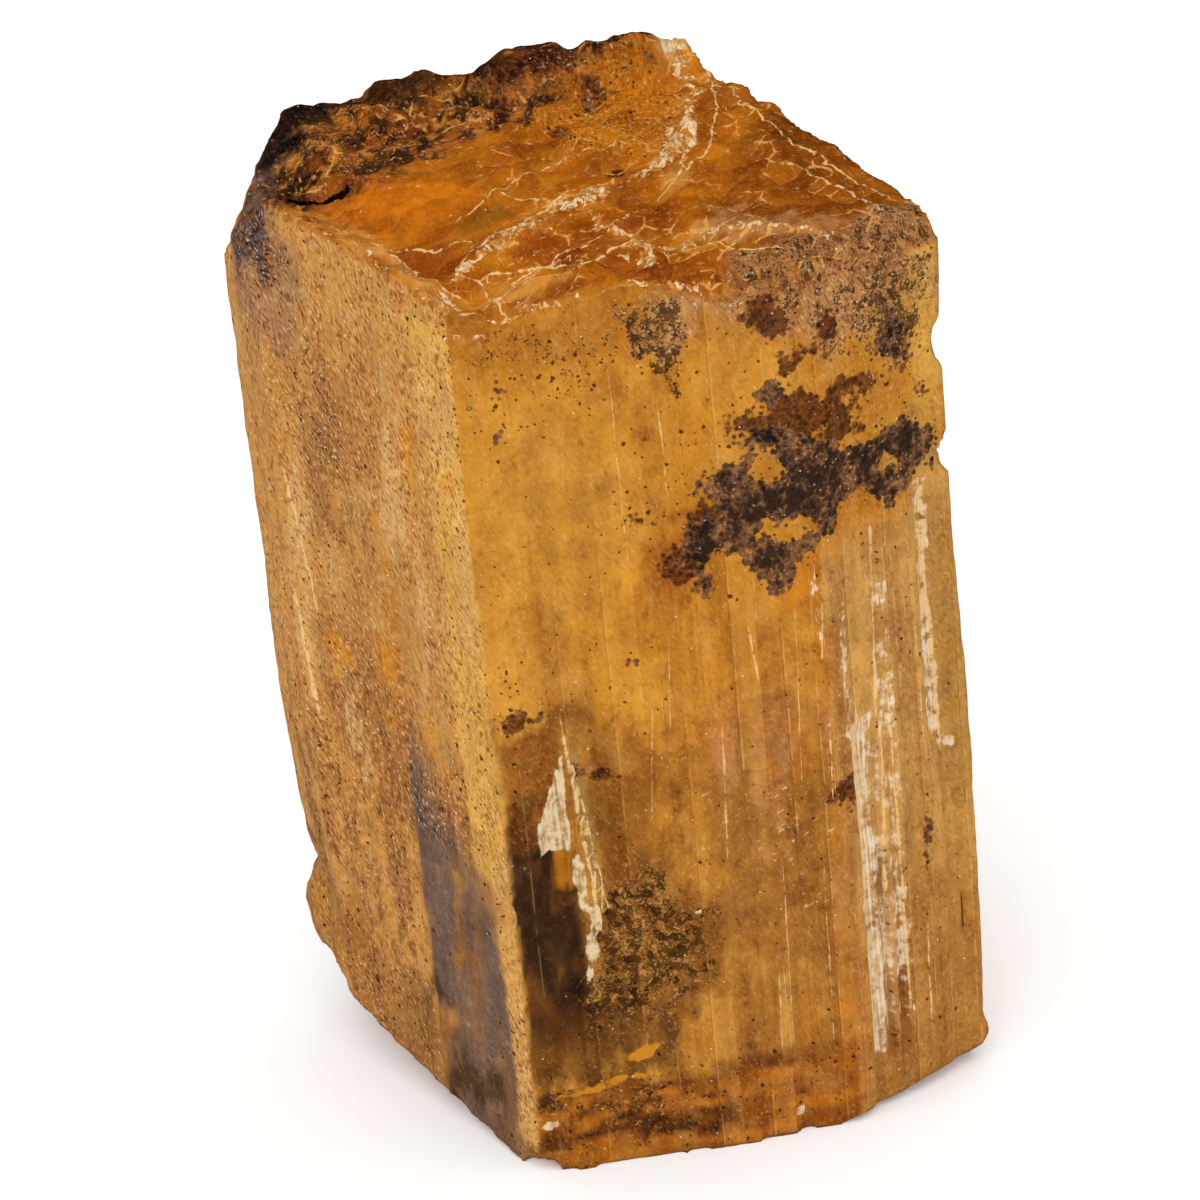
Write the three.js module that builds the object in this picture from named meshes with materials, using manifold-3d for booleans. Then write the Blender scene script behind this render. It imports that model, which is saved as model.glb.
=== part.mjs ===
// Topaz crystal: a stubby striated prism of honey-brown topaz, broken across its cleavage at
// both ends, with a dark crust of lumps along the back-left rim of the top.
// Millimetres, +Z along the crystal's long axis, the broken base resting on z = 0.

import * as THREE from "three";
import { ImprovedNoise } from "three/addons/math/ImprovedNoise.js";
import { mergeVertices } from "three/addons/utils/BufferGeometryUtils.js";
import Module from "manifold-3d";

const wasm = await Module();
wasm.setup();

// ---- driving dimensions -------------------------------------------------------------------

const PRISM_TOP = 68; // the prism is grown this tall before its top is broken off
const START = [-9.3, -13.81]; // plan position of the sharp front edge
const FRONT_RUN = 20.6; // the broad front face, and its twin at the back
const BEVEL_RUN = 10; // the striated bevel at each end of a broad face
const END_RUN = 7.5; // the narrow end faces
const SIDE_RUN = 18.5; // the side faces that meet the broad faces at the sharp edges
const BEVEL_TURN = 26.6; // plan heading of the bevel, degrees from the front face
const END_TURN = 99.6; // plan heading of the end face
const SIDE_TURN = 121.6; // plan heading of the back-right side face
const STEP_RUN = 0.14; // width over which one growth line steps in or out
const WALL_LEVELS = 14; // rings of points up the prism's walls
const STRIP_WIDTH = 3.3; // the narrow strip that takes the sharp front edge off
const STRIP_WIDTH_LOW = 1.3; // its width below the strip's break
const STRIP_BREAK = 19.5;

// Growth lines: [distance along the face, how far the surface lies inside the ideal face].
const FRONT_STEPS = [[0, 0], [3.6, 0.16], [5.1, 0.34], [6.2, 0.12], [9.5, 0.22], [10.9, 0.05],
  [13.4, 0.24], [15.9, 0.1], [16.7, 0.34], [17.8, 0.16], [18.9, 0.28], [19.9, 0]];
const RIGHT_BEVEL_STEPS = [[0, 0], [1.5, 0.3], [2.4, 0.5], [3.1, 0.28], [3.7, 0.45], [4.3, 0.16],
  [5.2, 0.28], [6.1, 0.1], [6.9, 0.26], [7.7, 0.48], [8.6, 0.2], [9.4, 0]];
const RIGHT_END_STEPS = [[0, 0], [1.2, 0.2], [2.6, 0.4], [3.9, 0.15], [5.2, 0.32], [6.4, 0]];
const BACK_RIGHT_STEPS = [[0, 0], [1.7, 0.22], [3.3, 0.1], [5.6, 0.36], [7.1, 0.2], [9.2, 0.05],
  [11.4, 0.3], [12.6, 0.14], [14.8, 0.34], [16.9, 0]];
const BACK_STEPS = [[0, 0], [2.2, 0.25], [4.1, 0.1], [5.2, 0.4], [7.9, 0.24], [10.3, 0.05],
  [12.1, 0.3], [13.0, 0.46], [14.4, 0.2], [16.8, 0.34], [19.2, 0]];
const LEFT_BEVEL_STEPS = [[0, 0], [1.1, 0.28], [2.3, 0.1], [3.6, 0.4], [4.8, 0.2], [6.4, 0.36],
  [7.6, 0.12], [9.1, 0]];
const LEFT_END_STEPS = [[0, 0], [1.4, 0.24], [2.8, 0.1], [4.4, 0.3], [5.9, 0]];
const LEFT_STEPS = [[0, 0], [1.0, 0.22], [3.2, 0.1], [5.4, 0.2], [8.0, 0.08], [9.4, 0.3],
  [11.2, 0.2], [14.2, 0.08], [15.2, 0]];

const TOP_AT_FRONT = 60.15; // height of the broken top above the middle of the front face
const TOP_RISE_LEFT = 0.066; // rise of the top per millimetre toward the left edge
const TOP_RISE_BACK = 0.06; // and toward the back
const TOP_DROP_RIGHT = 0.027; // the right part falls away with the square of the distance
const TOP_DROP_START = 10.5;
const SHOULDER_DROP = 1.5; // rounding of the worn rim above the right bevel
const SHOULDER_WIDTH = 2.8;
const LID_CELLS_X = 48; // cells of the broken top surface
const LID_CELLS_Y = 35;
const BASE_CELLS_X = 34; // cells of the broken base surface
const BASE_CELLS_Y = 24;

// ---- small tools --------------------------------------------------------------------------

const noise = new ImprovedNoise();

function rough(x, y, size, seed) {
  const a = noise.noise(x / size, y / size, seed);
  const b = noise.noise((2.1 * x) / size, (2.1 * y) / size, seed + 7.3);
  return a + 0.5 * b;
}

function bump(distance, width) {
  return Math.exp(-((distance / width) ** 2));
}

function headingVector(degrees) {
  const a = THREE.MathUtils.degToRad(degrees);
  return new THREE.Vector2(Math.cos(a), Math.sin(a));
}

function solidFrom(geometry) {
  const bare = geometry.index ? geometry.toNonIndexed() : geometry;
  bare.deleteAttribute("normal");
  bare.deleteAttribute("uv");
  const merged = mergeVertices(bare, 1e-4);
  const vertProperties = new Float32Array(merged.attributes.position.array);
  const triVerts = new Uint32Array(merged.index.array);
  return new wasm.Manifold(new wasm.Mesh({ numProp: 3, vertProperties, triVerts }));
}

function geometryFrom(solid) {
  const mesh = solid.getMesh();
  const geometry = new THREE.BufferGeometry();
  geometry.setAttribute("position", new THREE.BufferAttribute(mesh.vertProperties, 3));
  geometry.setIndex(new THREE.BufferAttribute(mesh.triVerts, 1));
  return geometry;
}

function distanceToPath(x, y, path) {
  let best = Infinity;
  for (let i = 0; i + 1 < path.length; i++) {
    const [ax, ay] = path[i];
    const [bx, by] = path[i + 1];
    const length2 = (bx - ax) ** 2 + (by - ay) ** 2;
    const along = ((x - ax) * (bx - ax) + (y - ay) * (by - ay)) / length2;
    const t = THREE.MathUtils.clamp(along, 0, 1);
    best = Math.min(best, Math.hypot(x - ax - t * (bx - ax), y - ay - t * (by - ay)));
  }
  return best;
}

// ---- the prism's outline ------------------------------------------------------------------

const faces = [
  { run: FRONT_RUN, heading: 0, steps: FRONT_STEPS },
  { run: BEVEL_RUN, heading: BEVEL_TURN, steps: RIGHT_BEVEL_STEPS },
  { run: END_RUN, heading: END_TURN, steps: RIGHT_END_STEPS },
  { run: SIDE_RUN, heading: SIDE_TURN, steps: BACK_RIGHT_STEPS },
  { run: FRONT_RUN, heading: 180, steps: BACK_STEPS },
  { run: BEVEL_RUN, heading: 180 + BEVEL_TURN, steps: LEFT_BEVEL_STEPS },
  { run: END_RUN, heading: 180 + END_TURN, steps: LEFT_END_STEPS },
  { run: SIDE_RUN, heading: 180 + SIDE_TURN, steps: LEFT_STEPS },
];
let corner = new THREE.Vector2(...START);
for (const face of faces) {
  face.corner = corner.clone();
  face.along = headingVector(face.heading);
  face.inward = headingVector(face.heading + 90);
  corner = corner.clone().addScaledVector(face.along, face.run);
}
const [front, rightBevel, rightEnd, backRight, back, leftBevel, leftEnd, left] = faces;

function planPoint(face, along, depth) {
  return face.corner.clone().addScaledVector(face.along, along).addScaledVector(face.inward, depth);
}

// How deep one growth line lies at a height: the lines wander, and fade under the crusty top.
function stepDepth(faceIndex, stepIndex, z) {
  const face = faces[faceIndex];
  const fade = 1 - 0.7 * THREE.MathUtils.smoothstep(z, 42, 52);
  const wander = 0.75 + 0.7 * noise.noise(1.7 * stepIndex + 0.4, z / 13, 3.1 * faceIndex + 0.2);
  return face.steps[stepIndex][1] * fade * Math.max(0.1, wander);
}

// How far the right and left edges of the prism stand out at a height: [height, distance].
const RIGHT_EDGE = [[0, -0.05], [8, 0.1], [22, 0.1], [30, 0.22], [37, -0.28], [53, -0.2], [58, 0.1]];
const LEFT_EDGE = [[0, 0], [11, 0], [15, 0.15], [22, 0.65], [34, 0.55], [50, 0.55], [58, 0.5]];

const FOOT_FLARE = 0.4; // how far the foot of the front face stands out
const FOOT_HEIGHT = 3.5;

function footDepth(face, along, z) {
  if (face !== front) return 0;
  const middle = THREE.MathUtils.smoothstep(Math.min(along - 1, 17.5 - along), 0, 3);
  return -FOOT_FLARE * middle * (1 - THREE.MathUtils.smoothstep(z, 1.2, FOOT_HEIGHT));
}

function standOut(table, z) {
  const next = table.findIndex(([height]) => height > z);
  if (next <= 0) return table.at(next)[1];
  const [[z0, out0], [z1, out1]] = [table[next - 1], table[next]];
  return THREE.MathUtils.mapLinear(z, z0, z1, out0, out1);
}

function edgeShift(x, z) {
  const right = THREE.MathUtils.smoothstep(x, 15, 19) * standOut(RIGHT_EDGE, z);
  const left = THREE.MathUtils.smoothstep(-x, 16, 19.5) * standOut(LEFT_EDGE, z);
  return right - left;
}

function stripDepth(face, along, z) {
  if (face !== left) return 0;
  const width = z > STRIP_BREAK ? STRIP_WIDTH : STRIP_WIDTH_LOW;
  return 0.12 * Math.max(0, along - (SIDE_RUN - width));
}

// Stations round the wall: two for each growth line, just before it and on it.
function wallStations() {
  return faces.flatMap((face, faceIndex) =>
    face.steps.flatMap(([along], i) => {
      const on = { face, faceIndex, along, stepIndex: i };
      const before = { face, faceIndex, along: along - STEP_RUN, stepIndex: i - 1 };
      return i === 0 ? [on] : [before, on];
    }));
}

function wallPoint({ face, faceIndex, along, stepIndex }, z) {
  const lines = stepDepth(faceIndex, stepIndex, z);
  const point = planPoint(face, along, lines + stripDepth(face, along, z) + footDepth(face, along, z));
  const nearEdge = Math.min(along, face.run - along) < 0.5 ? 1 : 0;
  const wear = 0.3 * nearEdge * Math.max(0, noise.noise(faceIndex + 0.5, z / 3.1, 2.6));
  const wave = 0.1 * noise.noise(point.x / 6, point.y / 6, z / 17);
  point.addScaledVector(point.clone().normalize(), wave - wear);
  point.x += edgeShift(point.x, z);
  return point;
}

function prismSolid() {
  const stations = wallStations();
  const count = stations.length;
  const wall = new THREE.CylinderGeometry(1, 1, PRISM_TOP, count, WALL_LEVELS);
  wall.rotateX(Math.PI / 2).translate(0, 0, PRISM_TOP / 2);
  const position = wall.attributes.position;
  for (let i = 0; i < position.count; i++) {
    const [x, y, z] = [position.getX(i), position.getY(i), position.getZ(i)];
    const turn = Math.atan2(x, -y) / (2 * Math.PI);
    const station = stations[(Math.round(turn * count) + count) % count];
    const point = Math.hypot(x, y) < 0.5 ? new THREE.Vector2() : wallPoint(station, z);
    position.setXYZ(i, point.x, point.y, z);
  }
  return solidFrom(wall);
}

// ---- broken top ---------------------------------------------------------------------------

const VEIN = [[-7.6, -9.6], [-5.1, -8.1], [-2.5, -6.2], [1.4, -3.4], [4.1, -1.5], [6.3, -0.2],
  [7.7, 3], [9.1, 8], [8.9, 13.8]];
const SHORT_VEIN = [[2.3, -12.6], [6, -11.4], [8.5, -8.6], [9.8, -10.8]];
const LEFT_RIM = [[-18.99, 1.94], [-9.3, -13.81]];
const SHOULDER_RIM = [[5.5, -13.81], [11.3, -13.81], [20.24, -9.34]];
const BACK_RIM = [[-20.24, 9.34], [-11.3, 13.81], [9.3, 13.81], [18.99, -1.94]];
const CRACK = [[-16.2, 1.2], [-14.6, 2.3], [-12.7, 2.5]];

// Crust lumps along the back rim: plan place, half-widths, height above the break, turn in degrees.
const LUMPS = [
  [-15.2, 10.7, 3.8, 2.3, 0.4, 24], [-12.2, 12.1, 2.4, 2, 0.2, 35], [-8.0, 12.6, 2.6, 2.4, 1.4, 12],
  [-4.1, 13.2, 2.2, 1.5, 1, 0], [-0.4, 12.5, 4.1, 2.8, 2.7, 6], [3.4, 12.9, 2.6, 2.2, 2.7, 40],
  [5.8, 12.8, 2.4, 2.2, 2.9, 0], [8.0, 12.9, 1.4, 1.3, 1.4, 0], [-9.7, 9.3, 2.3, 1.3, 0.7, 40],
  [-5.2, 9.4, 2.4, 1.4, 0.6, -15], [-13.6, 7.3, 2, 1.6, 0.5, 0], [0.2, 8.9, 1.8, 1.1, 0.4, 20],
];

function lumpHeight(x, y) {
  let height = 0;
  for (const [atX, atY, halfX, halfY, rise, degrees] of LUMPS) {
    const axis = headingVector(degrees);
    const u = ((x - atX) * axis.x + (y - atY) * axis.y) / halfX;
    const v = ((y - atY) * axis.x - (x - atX) * axis.y) / halfY;
    const edge = Math.max(0, 1 - u * u - v * v + 0.3 * noise.noise(x / 1.3, y / 1.3, atX));
    height = Math.max(height, rise * Math.min(1, edge) ** 0.6);
  }
  return height;
}

function cornerSlope(x, y) {
  return 56 + 1.93 * (x + 20.24) - 0.403 * (y - 9.34) + 0.6 * rough(x, y, 2.6, 3.1);
}

function terraces(x, y) {
  const drift = 0.33 * x - y + 1.6 * rough(x, y, 9, 5.5);
  return 0.3 * (Math.round(drift / 4.2) - drift / 4.2);
}

function topHeight(x, y) {
  const vein = distanceToPath(x, y, VEIN);
  const rim = distanceToPath(x, y, LEFT_RIM);
  const shoulder = distanceToPath(x, y, SHOULDER_RIM);
  const crusty = THREE.MathUtils.smoothstep(y - 0.55 * x, 8, 15);
  let z = TOP_AT_FRONT + TOP_RISE_LEFT * Math.max(0, -x) + TOP_RISE_BACK * (y - START[1]);
  z += 0.7 * terraces(x, y) + 0.16 * rough(x, y, 4.5, 1.7) + 0.75 * crusty * rough(x, y, 2.3, 9.2);
  z += 0.45 * bump(vein, 0.65) + 0.35 * bump(distanceToPath(x, y, SHORT_VEIN), 0.8);
  z -= 1.1 * bump(rim - 3.4, 1.8) - 0.3 * bump(rim, 1.1);
  z -= 1.1 * bump(distanceToPath(x, y, CRACK), 0.4);
  const towardBack = THREE.MathUtils.smoothstep(y, -10, 0);
  const worn = 1 + 0.35 * rough(x, y, 2.2, 6.4);
  z -= TOP_DROP_RIGHT * (0.35 + 0.65 * towardBack) * Math.max(0, x - TOP_DROP_START) ** 2;
  z -= SHOULDER_DROP * Math.max(0, 1 - shoulder / SHOULDER_WIDTH) ** 2 * worn;
  z -= 0.7 * Math.max(0, 1 - distanceToPath(x, y, BACK_RIM) / 1.1) * (0.6 + rough(x, y, 1.9, 2.8));
  z += lumpHeight(x, y);
  z -= 0.9 * bump(x + 8.2, 1.2) * bump(y + 13.4, 1);
  return Math.min(z, cornerSlope(x, y));
}

function gridBlock(width, depth, height, cellsX, cellsY, side, surface) {
  const block = new THREE.BoxGeometry(width, depth, height, cellsX, cellsY, 1);
  const position = block.attributes.position;
  for (let i = 0; i < position.count; i++) {
    if (Math.sign(position.getZ(i)) === side) {
      position.setZ(i, surface(position.getX(i), position.getY(i)));
    } else {
      position.setZ(i, side < 0 ? PRISM_TOP + 6 : -6);
    }
  }
  return solidFrom(block);
}

// ---- broken base --------------------------------------------------------------------------

const LEFT_HINGE = [[-10.6, -12.2], [-12.4, 13.81]]; // the left-back chamfer rises from here
const LEFT_CHAMFER = 0.58;
const RIGHT_HINGE = [[9.5, -13.9], [17.5, -8.5]]; // the shallow rise under the right bevel
const RIGHT_CHAMFER = 0.65;

function beyond([[ax, ay], [bx, by]], x, y) {
  return ((bx - ax) * (y - ay) - (by - ay) * (x - ax)) / Math.hypot(bx - ax, by - ay);
}

function baseHeight(x, y) {
  const leftRise = LEFT_CHAMFER * beyond(LEFT_HINGE, x, y);
  const rightRise = -RIGHT_CHAMFER * beyond(RIGHT_HINGE, x, y);
  const rise = Math.max(leftRise, rightRise);
  return rise > -0.3 ? Math.max(-0.5, rise + 0.28 * rough(x, y, 3.2, 7.7)) : -0.5;
}

// ---- chips, slots, plates and lumps -------------------------------------------------------

// A frame on a face: x along it, y into it, z up.
function onFace(face, along, depth, z) {
  const at = planPoint(face, along, depth);
  const x = new THREE.Vector3(face.along.x, face.along.y, 0);
  const y = new THREE.Vector3(face.inward.x, face.inward.y, 0);
  const frame = new THREE.Matrix4().makeBasis(x, y, new THREE.Vector3(0, 0, 1));
  return frame.setPosition(at.x, at.y, z);
}

function turned(geometry, tiltX, tiltY, tiltZ) {
  const angles = [tiltX, tiltY, tiltZ].map(THREE.MathUtils.degToRad);
  return geometry.applyMatrix4(new THREE.Matrix4().makeRotationFromEuler(new THREE.Euler(...angles)));
}

// A flat-sided bite: half-widths along the face, into it and upward, with its own turn.
function bite(face, along, depth, z, halfSize, turn) {
  const shape = turned(new THREE.IcosahedronGeometry(1, 0).scale(...halfSize), ...turn);
  return solidFrom(shape.applyMatrix4(onFace(face, along, depth, z)));
}

// A straight-sided slot or plate between two heights, its outer skin at the given depth.
function slab(face, along, width, fromZ, toZ, depth, thickness, lean = 0) {
  const shape = new THREE.BoxGeometry(width, thickness, toZ - fromZ);
  turned(shape.translate(0, depth + thickness / 2, 0), 0, lean, 0);
  return solidFrom(shape.applyMatrix4(onFace(face, along, 0, (fromZ + toZ) / 2)));
}

// A slot cut from outside the face down to the given depth.
function slot(face, along, width, fromZ, toZ, depth, lean = 0) {
  return slab(face, along, width, fromZ, toZ, depth - 3, 3, lean);
}

function lump([x, y, z], radii, turn, detail = 1) {
  const shape = new THREE.IcosahedronGeometry(1, detail);
  const position = shape.attributes.position;
  const point = new THREE.Vector3();
  for (let i = 0; i < position.count; i++) {
    point.fromBufferAttribute(position, i);
    const swell = 1 + 0.22 * noise.noise(2 * point.x + x, 2 * point.y + y, 2 * point.z + 0.5);
    position.setXYZ(i, ...point.multiplyScalar(swell).toArray());
  }
  return solidFrom(turned(shape.scale(...radii), ...turn).translate(x, y, z));
}

function cutsAndChips() {
  return [
    bite(left, SIDE_RUN - 0.5, 0, 18.9, [1.3, 0.8, 1.6], [0, 10, -20]),
    bite(left, SIDE_RUN - 0.2, 0, 15.2, [1, 0.7, 1.5], [10, 0, -30]),
    bite(left, SIDE_RUN, 0, 32.5, [0.9, 0.7, 1.3], [0, 20, 0]),
    bite(left, SIDE_RUN + 0.2, -0.4, 0, [2.4, 2, 1.5], [0, 15, -30]),
    bite(front, 3, 0, 22.3, [1, 0.8, 6.2], [0, 8, 0]),
    slot(front, 4.6, 1.5, 6.5, 27, 0.5, 1),
    slot(front, 7.2, 3.6, 8, 20.5, 0.42, -2),
    bite(front, 9.5, -0.2, 11.5, [3, 0.7, 4.6], [0, 25, 0]),
    bite(front, 5.8, -0.1, 4, [5, 0.8, 1.1], [0, -14, 0]),
    bite(front, 1.2, -0.1, 59.4, [2.6, 1, 1.1], [0, 10, 0]),
    slot(rightBevel, 1.9, 0.9, -1, 28.6, 0.62, 0.4),
    slot(rightBevel, 2.9, 0.8, 3, 26.4, 0.74),
    slot(rightBevel, 3.9, 0.5, 1, 33.4, 0.6, -0.5),
    slot(rightBevel, 7.6, 0.8, 25.6, 42.5, 0.66, 0.6),
    slot(rightBevel, 8.5, 1.2, 10, 23.4, 0.5, -0.8),
    bite(rightEnd, 0.2, -0.2, 51.8, [2, 1.2, 2], [0, 0, 30]),
    bite(rightEnd, 0.3, -0.1, 44.4, [2, 1.1, 1.7], [15, 0, 30]),
    bite(rightEnd, 3.6, -0.4, 36, [2.2, 1.2, 6], [0, 12, 0]),
    slot(backRight, 6, 2.2, 12, 38, 0.65, -0.7),
    bite(backRight, 13, -0.3, 27, [2.6, 1.1, 6.5], [0, 10, 0]),
    bite(backRight, 9.6, -0.5, 2.4, [6, 1.5, 2.6], [0, 8, 0]),
    slot(back, 7.4, 2.6, 22, 49, 0.65, 0.8),
    slot(back, 13.6, 1.7, -1, 31, 0.7, -0.6),
    bite(back, 17.4, -0.3, 12, [3.3, 1.2, 5.6], [0, -18, 0]),
    bite(back, 3.4, -0.3, 54, [3.8, 1.2, 3], [0, 12, 0]),
    slot(leftBevel, 5.6, 1.4, 14, 47, 0.7, 0.5),
    bite(leftBevel, 2.4, -0.2, 34, [1.8, 1, 5.4], [0, 10, 0]),
    bite(leftEnd, 0.3, -0.1, 11.6, [1.6, 1, 1.2], [0, 0, 20]),
    bite(left, 6.4, -0.3, 31, [2.6, 0.7, 7], [0, 6, 0]),
  ];
}

function additions() {
  return [
    slab(front, 8.5, 4.6, 29.2, 36.4, -0.08, 0.8),
    slab(left, 12, 4.9, 2.2, 25.6, 0, 0.8, 0.6),
    lump([19.8, -9.1, 2.7], [0.75, 0.8, 1.1], [0, 0, 10]),
    lump([-19.6, 8.1, 8.1], [1.3, 2.4, 3.2], [0, 0, 5], 2),
    lump([-18.9, 4.2, 7.2], [0.9, 1.8, 1.9], [10, 0, 0]),
  ];
}

// ---- assembly -----------------------------------------------------------------------------

function crystalSolid() {
  let body = prismSolid();
  for (const piece of cutsAndChips()) body = body.subtract(piece);
  body = body.subtract(gridBlock(48, 36, 2, LID_CELLS_X, LID_CELLS_Y, -1, topHeight));
  for (const piece of additions()) body = body.add(piece);
  return body.subtract(gridBlock(48, 36, 2, BASE_CELLS_X, BASE_CELLS_Y, 1, baseHeight));
}

function restOnOrigin(geometry) {
  geometry.computeBoundingBox();
  const centre = geometry.boundingBox.getCenter(new THREE.Vector3());
  return geometry.translate(-centre.x, -centre.y, -geometry.boundingBox.min.z);
}

const topaz = new THREE.MeshStandardMaterial({ color: 0xb9782f, roughness: 0.38, metalness: 0 });
const crystal = new THREE.Mesh(restOnOrigin(geometryFrom(crystalSolid())), topaz);
crystal.name = "topaz_crystal";

const model = new THREE.Group();
model.add(crystal);
export default model;
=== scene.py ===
import functools
import math
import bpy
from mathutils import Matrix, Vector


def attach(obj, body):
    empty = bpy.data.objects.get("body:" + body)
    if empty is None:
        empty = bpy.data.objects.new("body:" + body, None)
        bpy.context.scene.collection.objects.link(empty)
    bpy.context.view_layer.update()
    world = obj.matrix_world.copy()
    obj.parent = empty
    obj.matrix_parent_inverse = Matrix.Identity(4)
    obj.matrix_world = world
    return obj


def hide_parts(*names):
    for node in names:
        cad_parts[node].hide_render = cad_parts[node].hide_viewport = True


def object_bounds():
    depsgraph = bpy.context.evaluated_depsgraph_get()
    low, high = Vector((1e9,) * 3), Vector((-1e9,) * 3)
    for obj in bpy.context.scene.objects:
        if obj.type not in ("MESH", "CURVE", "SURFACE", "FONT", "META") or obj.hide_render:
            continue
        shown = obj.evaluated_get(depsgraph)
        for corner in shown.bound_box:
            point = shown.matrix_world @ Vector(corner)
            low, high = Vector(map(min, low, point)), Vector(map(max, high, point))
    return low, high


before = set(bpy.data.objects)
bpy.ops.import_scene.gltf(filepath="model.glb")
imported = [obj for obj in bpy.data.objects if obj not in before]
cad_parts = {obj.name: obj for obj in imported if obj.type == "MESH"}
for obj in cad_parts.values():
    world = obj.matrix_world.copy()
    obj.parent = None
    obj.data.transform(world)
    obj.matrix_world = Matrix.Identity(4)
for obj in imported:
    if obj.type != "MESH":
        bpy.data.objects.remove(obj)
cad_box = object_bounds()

from types import SimpleNamespace

import bpy
import numpy as np
from mathutils import Matrix, Vector

# The crystal is worked out in millimetres, and its points are scaled to metres at the end.
MM = 0.001
VOXEL = 0.262  # grid of the fine surface, across the crystal
SQUEEZE = 0.5  # the grid is coarser along the growth lines, which run up the crystal
APART = 300  # keeps the texture places of the top and base clear of those of the walls
VEIL = 0.006  # light that the gloss lays over every colour, taken off the paint beforehand
OUTSIDE = -3.0  # the least that spots() gives, as on faces without a spot

# ---- the prism's faces, as the solid has them ----

START = np.array([-9.072, -13.636])
RUNS = [20.6, 10.0, 7.5, 18.5, 20.6, 10.0, 7.5, 18.5]
HEADINGS = [0.0, 26.6, 99.6, 121.6, 180.0, 206.6, 279.6, 301.6]
FRONT, BEVEL_R, END_R, BACK_R, BACK, BEVEL_L, END_L, LEFT = range(8)


def heading(degrees):
    return np.array([math.cos(math.radians(degrees)), math.sin(math.radians(degrees))])


CORNERS = [START]
for run, degrees in zip(RUNS, HEADINGS):
    CORNERS.append(CORNERS[-1] + run * heading(degrees))
ROUND = sum(RUNS)
ROUND_START = sum(RUNS[:4])  # distances round the walls count from the sharp back edge


# ---- noise ----

def lattice(i, j, k, seed):
    h = (i * 374761393 + j * 668265263 + k * 1274126177 + seed * 974634777) & 0xFFFFFFFF
    h = ((h ^ (h >> 13)) * 1103515245) & 0xFFFFFFFF
    h = ((h ^ (h >> 15)) * 2246822519) & 0xFFFFFFFF
    return (h ^ (h >> 16)) / 4294967296.0


def noise(p, seed):
    """Smooth value noise from -1 to 1 at points p, one lump to a unit."""
    cell = np.floor(p).astype(np.int64)
    f = p - cell
    f = f * f * f * (f * (f * 6 - 15) + 10)
    total = 0
    for a in (0, 1):
        for b in (0, 1):
            for c in (0, 1):
                weight = (f[:, 0] if a else 1 - f[:, 0]) * (f[:, 1] if b else 1 - f[:, 1])
                weight = weight * (f[:, 2] if c else 1 - f[:, 2])
                total = total + weight * lattice(cell[:, 0] + a, cell[:, 1] + b, cell[:, 2] + c, seed)
    return 2 * total - 1


def fractal(p, size, seed, octaves=4, gain=0.5):
    """Layered noise, mostly within -1 and 1."""
    size = np.broadcast_to(np.asarray(size, float), (3,))
    total, power = 0, 0.0
    for k in range(octaves):
        total = total + gain ** k * noise(p / size * 2.03 ** k + 17.3 * k, seed + k)
        power += gain ** (2 * k)
    return total / math.sqrt(power) * 1.4


def cells(p, size, seed):
    """Distance to the nearest scattered point, in cells, and the number of that point."""
    q = p / size
    cell = np.floor(q).astype(np.int64)
    first = np.full(len(p), 9.0)
    label = np.zeros(len(p))
    for a in (-1, 0, 1):
        for b in (-1, 0, 1):
            for c in (-1, 0, 1):
                at = cell + (a, b, c)
                jitter = np.stack([lattice(*at.T, seed + n) for n in range(3)], 1)
                d = np.linalg.norm(at + jitter - q, axis=1)
                label = np.where(d < first, lattice(*at.T, seed + 9), label)
                first = np.minimum(first, d)
    return first, label


def smooth(x, low, high):
    t = np.clip((x - low) / (high - low), 0, 1)
    return t * t * (3 - 2 * t)


def nearer_of(a, b):
    return np.where(np.abs(b) < np.abs(a), b, a)


def linear(red, green, blue):
    """A colour given in 0-255 steps as the eye sees them, turned into light."""
    return tuple(max((c / 255) ** 2.2 - VEIL, 0.0005) for c in (red, green, blue))


def add(name, data):
    made = bpy.data.objects.new(name, data)
    bpy.context.scene.collection.objects.link(made)
    return made


# ---- the fine surface ----

def fine_copy(node):
    """The node's surface on an even grid, in millimetres."""
    source = node.data.copy()
    source.transform(Matrix.Diagonal((1 / MM, 1 / MM, SQUEEZE / MM, 1)))
    holder = add("fine", source)
    grid = holder.modifiers.new("grid", "REMESH")
    grid.mode = "VOXEL"
    grid.voxel_size = VOXEL
    made = bpy.data.meshes.new_from_object(holder.evaluated_get(bpy.context.evaluated_depsgraph_get()))
    made.transform(Matrix.Diagonal((1, 1, 1 / SQUEEZE, 1)))
    bpy.data.objects.remove(holder)
    return made


def read(values, name, width=3, kind=float):
    array = np.empty(len(values) * width, kind)
    values.foreach_get(name, array)
    return array.reshape(-1, width)


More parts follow.
